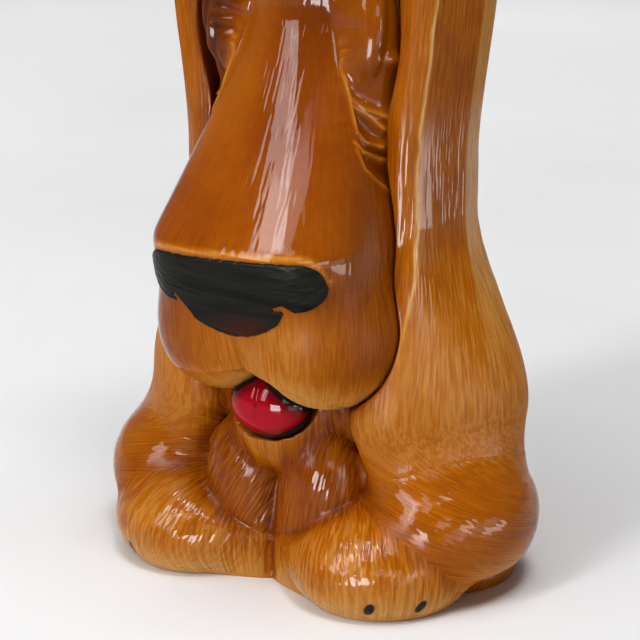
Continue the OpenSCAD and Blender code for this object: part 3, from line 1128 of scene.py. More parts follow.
@dataclass(frozen=True)
class HindLegs:
    """The flared haunch and the foot that shows under it."""

    haunch: Lump = Lump((66.0, -4.0, 31.0), (37.0, 45.0, 34.0))
    foot: Lump = Lump((70.0, 8.0, 4.0), (19.0, 26.0, 11.0))
    clearance: float = 9.0

    def haunch_distance(self, p: Array) -> Array:
        """The haunch, with its underside rounded off above the floor so that the foot shows."""
        return corner(self.haunch.distance(p), self.clearance - p[..., 2], 9.0)


@dataclass(frozen=True)
class ForeLegs:
    """A short upper leg that stands on its heel, and a big turned-out paw."""

    leg: Lump = Lump((19.0, -33.0, 39.0), (20.0, 17.0, 33.0))
    heel: Lump = Lump((14.0, -33.0, 6.0), (19.0, 16.0, 28.0), 14.0)
    paw: Lump = Lump((50.0, -32.0, 16.0), (40.0, 35.0, 26.0))
    paw_turn: float = 45.0
    ankle: tuple[float, float] = (20.0, -4.0)
    claw: float = 2.3
    claw_z: float = 8.1
    claws: tuple[float, ...] = (32.7, 70.7)

    def leg_distance(self, p: Array) -> Array:
        """Leg and heel blended."""
        return blend(self.leg.distance(p), self.heel.distance(p), self.heel.fillet)

    def paw_distance(self, p: Array) -> Array:
        """The turned ellipsoid of the paw."""
        return self.paw.distance(unturned(p, self.paw.centre, self.paw_turn))

    def above_heel(self, p: Array) -> Array:
        """Height over the crease that parts leg and heel: a line that rises to the outside."""
        return p[..., 2] - 20.0 - 0.45 * np.abs(p[..., 0])

    def claw_dabs(self, p: Array) -> Array:
        """Dabs of black at the claws: slanted spots by the angle round the paw and the height above the floor.

        Args:
            p: points on the skin.

        Returns:
            1 on a dab, else 0.
        """
        flat = p[..., :2] - np.array(self.paw.centre[:2])
        angle = np.arctan2(-flat[..., 1], flat[..., 0])
        radius = np.linalg.norm(flat, axis=-1)
        tall = (p[..., 2] - self.claw_z) * 0.72
        wide = (angle[..., None] - np.radians(self.claws)) * radius[..., None] + 0.4 * tall[..., None]
        near = np.hypot(wide, tall[..., None]).min(axis=-1)
        return ease(self.claw - near, -0.3, 0.3) * (radius > 20.0)


@dataclass(frozen=True)
class Ears:
    """Two long flaps that hang from the skull, narrow to a waist and flare over the haunches."""

    top_z: float = 342.0
    hem_z: float = 46.0
    waist_z: float = 165.0
    breadth: float = 50.0
    thickness: float = 21.0
    hem_breadth: float = 32.0
    hem_thickness: float = 22.0
    middle_x: float = 53.0
    round_top: float = 26.0
    round_hem: float = 34.0
    square: float = 3.6
    front_bevel: Place = (0.371, -0.929, 1.058)
    back_bevel: Place = (0.681, 0.733, 0.937)

    def flare(self, z: Array) -> Array:
        """0 at the waist and above, 1 at the hem."""
        return ease((self.waist_z - z) / 85.0)

    def middle(self, z: Array) -> Array:
        """The middle of the flap's level section: out over the skull, in at the waist, out again at the hem.

        Args:
            z: heights.

        Returns:
            One place for each height.
        """
        out = 8.0 * ease((z - self.waist_z - 20.0) / 87.0) - 9.0 * unit((z - 290.0) / 45.0) ** 2
        wide = self.flare(z)
        y = 8.0 * unit((z - 272.0) / 63.0) - 7.0 * wide
        return np.stack([self.middle_x + 9.0 * wide + out, y, z], axis=-1)

    def section(self, p: Array) -> tuple[Array, Array, Array]:
        """Where a point lies in the flap's level section.

        Args:
            p: points.

        Returns:
            The place along the section, -1 at its front and 1 at its back, the place through it, 1 on the outer
            side, and half its thickness.
        """
        wide = self.flare(p[..., 2])
        m = self.middle(p[..., 2])
        a = np.radians(14.0 + 20.0 * wide)
        x, y = p[..., 0] - m[..., 0], p[..., 1] - m[..., 1]
        half_t = (self.thickness + self.hem_thickness * wide) / 2.0
        long = (x * np.sin(a) + y * np.cos(a)) / ((self.breadth + self.hem_breadth * wide) / 2.0)
        return long, (x * np.cos(a) - y * np.sin(a)) / half_t, half_t

    def distance(self, p: Array) -> Array:
        """A slab that turns outwards and swells on its way down, squarish with two bevels above and round below.

        One bevel runs along the front edge and a broader one along the back edge of the outer side.

        Args:
            p: points.

        Returns:
            The distance, below zero inside.
        """
        z = p[..., 2]
        wide = self.flare(z)
        long, thick, half_t = self.section(p)
        over = np.minimum(0.999, unit((z - self.top_z + self.round_top) / self.round_top))
        under = np.minimum(0.999, unit((self.hem_z + self.round_hem - z) / self.round_hem))
        size = np.sqrt((1.0 - over ** 2) * (1.0 - under ** 2))
        power = mix(self.square, 2.1, ease(wide, 0.0, 0.6))
        slab = (np.abs(long) ** power + np.abs(thick) ** power + 1e-9) ** (1.0 / power)
        cuts = [(a * thick + b * long) / reach for a, b, reach in (self.front_bevel, self.back_bevel)]
        g = mix(corner(slab, np.maximum(*cuts), 0.05), slab, ease(wide, 0.1, 0.7))
        return np.maximum(np.maximum((g - size) * half_t, z - self.top_z), self.hem_z - z)

    def hair(self, p: Array) -> Hair:
        """Lines that hang straight to the waist, spread with the flap below it and drift back over the haunch.

        Args:
            p: points on the skin.

        Returns:
            The lines at the points.
        """
        z = p[..., 2]
        wide = self.flare(z)[..., None]
        low = ease(84.0 - z, 0.0, 30.0)[..., None]
        way = mix(toward(0.0, 0.0, -1.0), away_from(p, (52.0, 0.0, 215.0)), wide) + 1.4 * low * toward(0.56, 0.83, 0.0)
        long, thick, _ = self.section(p)
        drift = 1.1 * np.maximum(0.0, 72.0 - z) ** 1.5 / 6.0
        through = thick * self.thickness / 2.0 * (1.0 - low[..., 0])
        line = np.stack([long * self.breadth / 2.0 - drift, through, 0.0 * z], axis=-1)
        return Hair(way, line, z)

    def core(self, t: Array) -> Array:
        """A line down the middle of the flap, a little outside it."""
        return self.middle(mix(88.0, self.top_z - 22.0, t)) + np.array([2.0, 0.0, 0.0])


@dataclass(frozen=True)
class Figure:
    """All that is below the head: forms that melt into each other and are cut apart along their valleys.

    One skin is the blend of all forms. A piece is the part of that skin where its own form is the nearest. Past the
    cut it dips under its neighbour, as clay does where it is luted, so the glaze runs on over the join.
    """

    head: Head
    body: Body
    mouth: Mouth
    fore: ForeLegs
    hind: HindLegs
    ears: Ears
    whole: tuple[str, ...] = ("body", "jaw")
    lap: float = 3.0
    dip: float = 0.2
    soft: float = 6.0
    shown: dict[str, float] = field(default_factory=lambda: {
        "body": 0.7, "jaw": 0.8, "leg": 0.9, "paw": 1.0, "haunch": 0.7, "foot": 0.7, "ear": 0.6,
    })
    depth: dict[str, float] = field(default_factory=lambda: {
        "body": 0.8, "jaw": 0.5, "leg": 0.9, "paw": 1.0, "haunch": 0.3, "foot": 0.7, "ear": 0.6,
    })
    # painted shade: how much darker the valleys between forms and the cleft between the heels are
    valley: float = 0.16
    cleft: float = 0.26
    mottling: float = 0.18
    carve: float = 1.2

    def forms(self, p: Array) -> dict[str, Array]:
        """Distance to each form of the dog's left side, and to the other side's foreleg and paw.

        Args:
            p: points.

        Returns:
            The distances by the forms' names.
        """
        far = mirrored(p)
        return {
            "body": self.body.distance(p),
            "jaw": self.mouth.jaw(p),
            "leg": self.fore.leg_distance(p),
            "paw": self.fore.paw_distance(p),
            "haunch": self.hind.haunch_distance(p),
            "foot": self.hind.foot.distance(p),
            "ear": self.ears.distance(p),
            "far_leg": self.fore.leg_distance(far),
            "far_paw": self.fore.paw_distance(far),
        }

    def skin(self, p: Array, d: dict[str, Array]) -> Array:
        """All forms blended, with wide fillets from ear to haunch and from heel to paw and narrow ones elsewhere.

        Args:
            p: points.
            d: distance to each form, as forms gives it.

        Returns:
            The distance, below zero inside.
        """
        fillet = mix(14.0, 4.0, ease(self.fore.above_heel(p), -5.0, 1.0))
        near = blend(d["leg"], d["paw"], fillet)
        far = blend(d["far_leg"], d["far_paw"], fillet)
        hind = blend(blend(d["ear"], d["haunch"], 20.0), d["foot"], 1.5)
        low = blend(blend(near, far, 2.2), hind, 5.0)
        return blend(blend(low, d["jaw"], 4.5), d["body"], 8.0)

    def piece(self, name: str, p: Array) -> Array:
        """Distance to one piece: the skin where its own form is nearest, above the floor and clear of the body.

        Args:
            name: the piece's form.
            p: points.

        Returns:
            The distance, below zero inside.
        """
        p = across(p) if name in self.whole else p
        d = self.forms(p)
        over = d[name] - np.min([v for key, v in d.items() if key not in (name, "body")], axis=0)
        form = corner(self.skin(p, d) + self.dip * np.maximum(over, 0.0), over - self.lap, 1.5)
        form = corner(form, SLIP - d["body"], 0.8)
        if name in ("ear", "jaw"):
            form = corner(form, mix(0.3, 1.0, float(name == "ear")) - self.head.distance(p), 1.5)
        if name == "jaw":
            form = corner(form, SLIP - self.mouth.tongue.distance(p), 1.5)
        return np.maximum(form, -p[..., 2])

    def collared(self, p: Array) -> Array:
        """The body, swollen a little behind where it meets the head, so that the join at the nape is soft.

        Args:
            p: points.

        Returns:
            The distance, below zero inside.
        """
        bare = self.body.distance(p)
        nape = self.head.distance(p) + 30.0 * ease(44.0 - p[..., 1], 0.0, 24.0)
        return corner(blend(bare, nape, 18.0), bare - 4.0, 3.0)

    def shares(self, d: dict[str, Array]) -> dict[str, Array]:
        """How much each near form has to say about colour and combing at a point: the nearest has the most.

        Args:
            d: distance to each form, as forms gives it.

        Returns:
            Each form's share, together 1 at every point.
        """
        kept = {key: v for key, v in d.items() if not key.startswith("far")}
        least = np.min(list(kept.values()), axis=0)
        raw = {key: np.exp(-(v - least) / self.soft) for key, v in kept.items()}
        total = sum(raw.values())
        return {key: v / total for key, v in raw.items()}

    def hairs(self, p: Array, side: Side) -> dict[str, Hair]:
        """The way the comb was drawn on each form.

        Args:
            p: points on the skin.
            side: which side is combed.

        Returns:
            The lines by the forms' names.
        """
        lean = 0.5 if side is Side.RIGHT else -0.12
        paw = Hair.turning(p, self.fore.ankle, 45.0, 0.8)
        leg = Hair.straight(p, toward(lean, -0.2, -1.0), toward(0.2, -1.0, 0.1))
        return {
            "body": Hair.turning(p, (0.0, 24.0), 55.0, 9.0),
            "jaw": Hair.turning(p, (0.0, -22.0), 24.0, 3.0),
            "leg": leg.changed(self.fore.above_heel(p) < 0.0, paw),
            "paw": paw,
            "haunch": self.ears.hair(p),
            "foot": Hair.straight(p, toward(0.5, -0.8, -0.3), toward(0.8, -0.2, 0.5)),
            "ear": self.ears.hair(p),
        }

    def tones(self, p: Array) -> dict[str, Array]:
        """How pale the glaze is on each form; on the ear and the jaw some of it is painted highlight, reflection and
        shade.

        Args:
            p: points on the skin.

        Returns:
            The tone by the forms' names, 0 for the darkest glaze and 1 for the palest.
        """
        x, y, z = p[..., 0], p[..., 1], p[..., 2]
        toe = ease(22.0 - z, 0.0, 22.0) * ease(-y, 15.0, 50.0)
        long, thick, _ = self.ears.section(p)
        high = 1.0 - self.ears.flare(z)
        # painted reflection: a pale band along the back bevel of the upper ear
        back_edge_reflection = ease(long, 0.3, 0.42) * ease(thick, -0.2, 0.2) * high
        # painted highlight: a faint pale band on the ear's front
        rim = ease(-long, 0.66, 0.8) * ease(thick, -0.6, 0.0) * high
        # painted highlight: a thin wobbly pale line along the ear's front ridge
        wobble = 0.05 * (Grain(64).at(p / 7.0) - 0.5)
        ridge = bump(long + wobble, -0.75, 0.03) * ease(thick, 0.4, 0.7) * high
        # painted shade where the ear lies close to the head
        shade_near_head = ease(9.0 - self.head.distance(p), 0.0, 8.0)
        paw = 0.5 + 0.26 * toe
        leg = 0.29 + 0.16 * ease(z, 52.0, 68.0) * ease(x, 14.0, 30.0)
        return {
            "body": 0.36 + 0.1 * ease(60.0 - z, 0.0, 50.0) - 0.06 * ease(z, 190.0, 245.0),
            # painted shade: the jaw is darker under the head and at both sides under the jowls
            "jaw": 0.52 - 0.22 * ease(6.0 - self.head.distance(p), 0.0, 6.0) - 0.2 * ease(x, 15.0, 26.0),
            "leg": mix(paw - 0.04, leg, ease(self.fore.above_heel(p), -1.5, 1.5)),
            "paw": paw,
            "haunch": 0.36 + 0.34 * ease(32.0 - z, 0.0, 24.0),
            "foot": 0.28 + 0.0 * z,
            # the ear grows paler towards the flare: partly paler glaze, partly a painted reflection haze
            "ear": 0.4 + 0.16 * ease(190.0 - z, 0.0, 95.0) + 0.3 * back_edge_reflection + 0.06 * rim + 0.5 * ridge - 0.12 * shade_near_head,
        }

    def crease(self, d: dict[str, Array]) -> Array:
        """How deep in a valley a point lies: 1 where two forms are equally near.

        Args:
            d: distance to each form, as forms gives it.

        Returns:
            0 away from a valley and 1 in its bottom.
        """
        kept = [np.minimum(d["ear"], d["haunch"])] + [d[k] for k in ("jaw", "leg", "paw", "foot", "far_leg", "far_paw")]
        two = np.sort(kept, axis=0)[:2]
        return bump(two[1] - two[0], 0.0, 5.0)

    def dress_skin(self, surface: Surface, name: str, side: Side) -> None:
        """Combs one piece's skin and lays its colour on.

        Args:
            surface: the piece's skin.
            name: the piece's form.
            side: which side it is for.
        """
        p = across(surface.points) if name in self.whole else surface.points
        d = self.forms(p)
        share = self.shares(d)
        hair = self.hairs(p, side)[name]
        if name in self.whole:
            turned = np.where(surface.points[..., :1] < 0.0, -1.0, 1.0)
            flipped = np.concatenate([hair.way[..., :1] * turned, hair.way[..., 1:]], axis=-1)
            hair = Hair(flipped, hair.line, hair.run)
        off = self.collared(p) if name == "body" else self.skin(p, d)
        bare = (1.0 - ease(np.abs(off), 0.3, 0.9)) * ease(p[..., 2], 0.4, 3.0)
        where = sum(share[key] * v for key, v in self.shown.items()) * bare
        relief = sum(share[key] * v for key, v in self.depth.items()) * bare
        heel = ease(-self.fore.above_heel(p), 0.0, 5.0) * unit(share["leg"] + share["paw"])
        cleft = bump(p[..., 0], 0.0, 2.4) * heel * float(name == "leg")
        if name == "leg":
            surface.push(-self.carve * np.maximum(bump(self.fore.above_heel(p), 0.0, 1.6), cleft) * bare)
        Comb(seed=60 + side.value).draw(surface, hair, where, relief)
        tone = sum(share[key] * pale for key, pale in self.tones(p).items())
        # painted shade: darker in the valleys between forms and in the cleft between the heels
        valley = self.crease(d) * (1.0 - 0.8 * heel)
        tone = tone - self.valley * valley - self.cleft * cleft + self.mottling * mottle(p, 28.0, 62)
        surface.paints["tone"] = unit(tone)
        dull = np.maximum(self.ears.flare(p[..., 2]), 1.25 * ease(p[..., 2], 188.0, 222.0))
        surface.paints["satin"] = unit(0.8 * share["ear"] * dull + 0.7 * self.crease(d))
        surface.paints["paint"] = self.fore.claw_dabs(p) * ease(-d["paw"], -0.8, -0.4)

    def build(self, name: str, piece: str, core: Callable[[Array], Array], size: tuple[int, int],
              side: Side = Side.LEFT, cap: float = 0.5) -> bpy.types.Object:
        """Walks one piece's skin, combs and colours it.

        Args:
            name: the object's name.
            piece: the piece's form.
            core: the line that its rays leave.
            size: columns round the core and rows along it.
            side: which side it is for.
            cap: share of the rows that each end takes.

        Returns:
            The piece.
        """
        clay = self.collared if piece == "body" else partial(self.piece, piece)
        surface = Surface(Skin(clay, core, *size, cap).grid())
        self.dress_skin(surface, piece, side)
        return surface.mesh(name, side)


@dataclass(frozen=True)
class Tail:
    """A tapering tail that lies on the floor round the rump."""

    diameter: float = 24.0
    sweep: float = 60.0
    lead: float = 8.0
    centre_y: float = 8.0
    path_r: float = 74.0
    around: int = 120
    along: int = 180

    def build(self) -> bpy.types.Object:
        """A round section carried along an arc: the radius falls to the tip and closes round at both ends.

        Returns:
            The tail object.
        """
        t = np.linspace(0.0, 1.0, self.along + 1)[:, None]
        u = np.linspace(0.0, 2.0 * math.pi, self.around, endpoint=False)[None, :]
        a = np.radians(self.sweep * t - self.lead)
        away = np.stack([-np.sin(a), np.cos(a), 0.0 * a], axis=-1)
        high = self.diameter * (0.46 - 0.18 * t)
        middle = np.array([0.0, self.centre_y, 0.0]) + self.path_r * away
        middle[..., 2] = high
        size = self.diameter / 2.0 * (1.0 - 0.45 * t) * np.sqrt(unit(1.0 - np.abs(2.0 * t - 1.0) ** 4))
        ring = np.cos(u)[..., None] * away - np.sin(u)[..., None] * np.array([0.0, 0.0, 1.0])
        drop = np.minimum(ring[..., 2], -1e-6)
        reach = np.where(ring[..., 2] < 0.0, np.minimum(size, -high / drop), size)
        surface = Surface(middle + ring * reach[..., None])
        p = surface.points
        hair = Hair(np.gradient(p, axis=0), ring * self.diameter / 2.0, self.path_r * a + 0.0 * u)
        bare = ease(p[..., 2], 0.5, 3.0)
        Comb(seed=101).draw(surface, hair, bare, bare)
        surface.paints["tone"] = unit(0.34 + 0.3 * ease(t, 0.55, 1.0) + 0.16 * mottle(p, 20.0, 102))
        surface.blank("paint")
        return surface.mesh("tail_casting")


@dataclass
class Nodes:
    """A short hand for wiring the nodes of a material or of the room."""

    owner: bpy.types.Material | bpy.types.World

    @classmethod
    def fresh(cls, name: str) -> "Nodes":
        """A new material with only a shader and its output.

        Args:
            name: the material's name.

        Returns:
            The short hand for it.
        """
        material = bpy.data.materials.new(name)
        material.use_nodes = True
        return cls(material)

    @property
    def shader(self) -> bpy.types.Node:
        """The material's shader."""
        return self.owner.node_tree.nodes["Principled BSDF"]

    def add(self, kind: str, **settings: object) -> bpy.types.Node:
        """A new node with its settings.

        Args:
            kind: the node's type.
            settings: its properties by name.

        Returns:
            The node.
        """
        node = self.owner.node_tree.nodes.new(kind)
        for key, value in settings.items():
            setattr(node, key, value)
        return node

    def link(self, source: object, target: object) -> None:
        """Joins an output to an input."""
        self.owner.node_tree.links.new(source, target)

    def feed(self, socket: bpy.types.NodeSocket, value: object) -> None:
        """Gives a socket a number, a colour or another node's output.

        Args:
            socket: the input.
            value: what it gets.
        """
        if isinstance(value, tuple):
            socket.default_value = (*value, 1.0)
        elif isinstance(value, float):
            socket.default_value = value
        else:
            self.link(value, socket)

    def fill(self, node: bpy.types.Node, **values: object) -> None:
        """Feeds a node's sockets by name, with underscores for the spaces in a name."""
        for key, value in values.items():
            self.feed(node.inputs[key.replace("_", " ")], value)

    def paint(self, name: str) -> object:
        """The value of a mesh attribute."""
        return self.add("ShaderNodeAttribute", attribute_name=name).outputs["Fac"]

    def noise(self, scale: float, detail: float = 3.0, stretch: Place = (1.0, 1.0, 1.0)) -> object:
        """Solid noise on Object coordinates, stretched along the axes.

        Args:
            scale: cells to a metre.
            detail: how many finer layers are added.
            stretch: scale along each axis.

        Returns:
            The node's output.
        """
        place = self.add("ShaderNodeTexCoord").outputs["Object"]
        mapping = self.add("ShaderNodeMapping")
        mapping.inputs["Scale"].default_value = stretch
        self.link(place, mapping.inputs["Vector"])
        noise = self.add("ShaderNodeTexNoise")
        self.fill(noise, Scale=scale, Detail=detail, Vector=mapping.outputs["Vector"])
        return noise.outputs["Fac"]

    def hair_lines(self) -> object:
        """Fine lines: noise over the place of each line and, far slower, along its run; 1 on a ridge, 0 between.

        Returns:
            The node's output.
        """
        noise = self.add("ShaderNodeTexNoise", noise_dimensions="4D")
        strand = self.add("ShaderNodeAttribute", attribute_name="strand").outputs["Vector"]
        self.fill(noise, Scale=1.0, Detail=1.0, Vector=strand, W=self.paint("run"))
        return self.graded(noise.outputs["Fac"], 0.36, 0.62, 1.0, "SMOOTHSTEP")

    def graded(self, value: object, low: float, high: float, top: float, how: str = "LINEAR") -> object:
        """A value turned into 0 at low and top at high.

        Args:
            value: the output to turn.
            low: where 0 is.
            high: where top is.
            top: the largest result.
            how: straight or eased between.

        Returns:
            The node's output.
        """
        node = self.add("ShaderNodeMapRange", interpolation_type=how)
        self.fill(node, Value=value, From_Min=low, From_Max=high, To_Max=top)
        return node.outputs["Result"]

    def seen(self) -> object:
        """1 for what the camera sees, straight or in gloss or glass, and 0 for the light that falls on things.

        Returns:
            The node's output.
        """
        path = self.add("ShaderNodeLightPath").outputs
        straight = self.math("MAXIMUM", path["Is Camera Ray"], path["Is Glossy Ray"])
        return self.math("MAXIMUM", straight, path["Is Transmission Ray"])

    def math(self, operation: str, a: object, b: object) -> object:
        """Arithmetic on two values, each an output or a number.

        Args:
            operation: the sum's kind.
            a: the first value.
            b: the second value.

        Returns:
            The node's output.
        """
        node = self.add("ShaderNodeMath", operation=operation)
        for socket, value in zip(node.inputs, (a, b)):
            self.feed(socket, value)
        return node.outputs["Value"]

    def ramp(self, value: object, stops: tuple[tuple[float, Colour], ...]) -> object:
        """A value turned into a colour through a row of stops.

        Args:
            value: the output to turn.
            stops: places from 0 to 1 and their colours.

        Returns:
            The node's output.
        """
        node = self.add("ShaderNodeValToRGB")
        bar = node.color_ramp.elements
        while len(bar) < len(stops):
            bar.new(0.5)
        for element, (place, colour) in zip(bar, stops):
            element.position = place
            element.color = (*colour, 1.0)
        self.link(value, node.inputs["Fac"])
        return node.outputs["Color"]

    def mix(self, share: object, a: object, b: object, how: str = "MIX") -> object:
        """Two colours mixed by a share; each colour is an output or a tuple.

        Args:
            share: 0 for a and 1 for b.
            a: the first colour.
            b: the second colour.
            how: the way of mixing.

        Returns:
            The node's output.
        """
        node = self.add("ShaderNodeMix", data_type="RGBA", blend_type=how)
        for key, value in (("Factor_Float", share), ("A_Color", a), ("B_Color", b)):
            self.feed(next(s for s in node.inputs if s.identifier == key), value)
        return next(s for s in node.outputs if s.identifier == "Result_Color")

    def relief(self, height: object, strength: float, distance: float) -> None:
        """Fine relief from a height in the shader.

        Args:
            height: the output that gives the height.
            strength: how strongly it shows.
            distance: metres for a height of 1.
        """
        node = self.add("ShaderNodeBump")
        self.fill(node, Strength=strength, Distance=distance, Height=height)
        self.fill(self.shader, Normal=node.outputs["Normal"])


def linear(red: int, green: int, blue: int) -> Colour:
    """A colour given on the 0 to 255 scale of a screen, as light."""
    return tuple(((v / 255.0 + 0.055) / 1.055) ** 2.4 if v > 10 else v / 255.0 / 12.92 for v in (red, green, blue))


BLACK = linear(22, 21, 18)
COAT_IOR = 1.22


@dataclass(frozen=True)
class FurGlaze:
    """Airbrushed brown under a clear glossy glaze: dark in grooves, pale where it was wiped; its tone also holds
    painted shade and highlights.
    """

    name: str
    roughness: float = 0.34
    line_tone: float = 0.2
    speckle: float = 0.08
    groove: float = 0.25
    coat_roughness: float = 0.06
    satin_roughness: float = 0.4
    satin_loss: float = 0.7
    speckle_scale: float = 260.0
    pit_scale: float = 900.0
    pit_depth: float = 0.2
    groove_brown: Colour = linear(92, 38, 2)
    stops: tuple[tuple[float, Colour], ...] = (
        (0.0, linear(58, 20, 1)),
        (0.25, linear(130, 58, 1)),
        (0.48, linear(172, 94, 4)),
        (0.72, linear(196, 137, 62)),
        (1.0, linear(220, 180, 122)),
    )

    def material(self) -> bpy.types.Material:
        """The material: a ramp on tone and hair, darkened by the grooves, with paint on top and a clear coat.

        Returns:
            The new material.
        """
        kit = Nodes.fresh(self.name)
        fur = kit.paint("fur")
        hair = kit.hair_lines()
        ridge = kit.math("MULTIPLY", kit.math("SUBTRACT", hair, 0.5), kit.math("MULTIPLY", fur, self.line_tone))
        speckle = kit.math("MULTIPLY", kit.math("SUBTRACT", kit.noise(self.speckle_scale, 4.0), 0.5), self.speckle)
        tone = kit.math("ADD", kit.paint("tone"), kit.math("ADD", ridge, speckle))
        base = kit.ramp(tone, self.stops)
        groove = kit.math("MULTIPLY", kit.paint("groove"), self.groove)
        worked = kit.mix(groove, base, self.groove_brown)
        inked = kit.mix(kit.paint("paint"), worked, BLACK)
        satin = kit.paint("satin")
        kit.fill(
            kit.shader,
            Base_Color=inked,
            Roughness=self.roughness,
            Specular_IOR_Level=0.0,
            Coat_Weight=kit.math("SUBTRACT", 1.0, kit.math("MULTIPLY", satin, self.satin_loss)),
            Coat_Roughness=kit.math("ADD", kit.math("MULTIPLY", satin, self.satin_roughness), self.coat_roughness),
            Coat_IOR=COAT_IOR,
        )
        pits = kit.math("MULTIPLY", kit.noise(self.pit_scale, 2.0), self.pit_depth)
        kit.relief(kit.math("ADD", kit.math("MULTIPLY", hair, fur), pits), 0.4, 0.0003)
        return kit.owner


@dataclass(frozen=True)
class NoseBlack:
    """Black overglaze put on with a broad brush, rubbed through to brown near its lower point."""

    name: str = "black_glaze"
    thick_ink: Colour = linear(12, 12, 9)
    thin_ink: Colour = linear(34, 33, 26)
    worn_brown: Colour = linear(74, 22, 8)
    streaks: Place = (0.25, 1.0, 2.2)

    def material(self) -> bpy.types.Material:
        """The material: brush streaks in colour and roughness over nearly black, brown where rubbed through.

        Returns:
            The new material.
        """
        kit = Nodes.fresh(self.name)
        streak = kit.noise(120.0, 4.0, self.streaks)
        ink = kit.ramp(streak, ((0.3, self.thick_ink), (0.75, self.thin_ink)))
        patch = kit.math("MULTIPLY", kit.paint("worn"), kit.math("ADD", streak, 0.2))
        worn = kit.mix(patch, ink, self.worn_brown)
        rough = kit.math("ADD", kit.math("MULTIPLY", streak, 0.3), 0.22)
        kit.fill(kit.shader, Base_Color=worn, Roughness=rough, Specular_IOR_Level=0.04)
        kit.fill(kit.shader, Coat_Weight=0.12, Coat_Roughness=0.16, Coat_IOR=COAT_IOR)
        kit.relief(streak, 0.25, 0.0004)
        return kit.owner


@dataclass(frozen=True)
class TongueRed:
    """Bright red glaze, deeper at the edge, with a black line painted round it."""

    name: str = "red_glaze"
    red: Colour = linear(172, 0, 26)
    edge_red: Colour = linear(116, 0, 16)
    blotch_red: Colour = linear(146, 0, 20)
    crease_red: Colour = linear(120, 0, 16)

    def material(self) -> bpy.types.Material:
        """The material: red darkened by edge and crease, black on the line, a clear coat over all.

        Returns:
            The new material.
        """
        kit = Nodes.fresh(self.name)
        red = kit.mix(kit.paint("edge"), self.red, self.edge_red)
        mottled = kit.mix(kit.math("MULTIPLY", kit.noise(150.0), 0.35), red, self.blotch_red)
        deep = kit.mix(kit.math("MULTIPLY", kit.paint("crease"), 0.6), mottled, self.crease_red)
        lined = kit.mix(kit.paint("line"), deep, BLACK)
        kit.fill(kit.shader, Base_Color=lined, Roughness=0.3, Specular_IOR_Level=0.0)
        kit.fill(kit.shader, Coat_Weight=1.0, Coat_Roughness=0.04, Coat_IOR=COAT_IOR)
        kit.relief(kit.noise(500.0, 2.0), 0.1, 0.0002)
        return kit.owner


@dataclass(frozen=True)
class EyeWhite:
    """Cream glaze with a painted brown iris, black pupil and a white dot that is a painted highlight."""

    name: str = "white_glaze"
    cream: tuple[Colour, Colour] = (linear(226, 214, 190), linear(242, 235, 218))
    iris: tuple[Colour, Colour] = (linear(70, 34, 10), linear(112, 60, 20))
    dot: Colour = linear(245, 243, 236)

    def material(self) -> bpy.types.Material:
        """The material: cream, then iris, pupil and dot by their masks, under a clear coat.

        Returns:
            The new material.
        """
        kit = Nodes.fresh(self.name)
        cream = kit.ramp(kit.noise(180.0), tuple(zip((0.3, 0.8), self.cream)))
        brown = kit.ramp(kit.noise(420.0), tuple(zip((0.3, 0.8), self.iris)))
        eye = kit.mix(kit.paint("iris"), cream, brown)
        eye = kit.mix(kit.paint("pupil"), eye, BLACK)
        eye = kit.mix(kit.paint("glint"), eye, self.dot)
        kit.fill(kit.shader, Base_Color=eye, Roughness=0.3, Coat_Weight=1.0, Coat_Roughness=0.03)
        kit.relief(kit.noise(600.0, 2.0), 0.08, 0.0002)
        return kit.owner


class Lamp(Enum):
    """A window lights everything; a card only shows in the gloss."""

    WINDOW = "window"
    CARD = "card"


@dataclass(frozen=True)
class SoftBox:
    """A rectangular lamp that looks at the dog."""

    name: str
    place: Place
    size: tuple[float, float]
    watts: float
    kind: Lamp = Lamp.WINDOW

    def hang(self, target: Place) -> None:
        """Makes the lamp and turns it to the target.

        Args:
            target: the place that it looks at.
        """
        lamp = bpy.data.lights.new(self.name, "AREA")
        lamp.shape = "RECTANGLE"
        lamp.size, lamp.size_y = self.size
        lamp.energy = self.watts
        thing = bpy.data.objects.new(self.name, lamp)
        thing.location = self.place
        thing.visible_camera = False
        thing.visible_diffuse = self.kind is Lamp.WINDOW
        aim(thing, target)
        bpy.context.scene.collection.objects.link(thing)


def aim(thing: bpy.types.Object, target: Place) -> None:
    """Turns a lamp or a camera so that it looks at target."""
    away = Vector(target) - thing.location
    thing.rotation_euler = away.to_track_quat("-Z", "Y").to_euler()


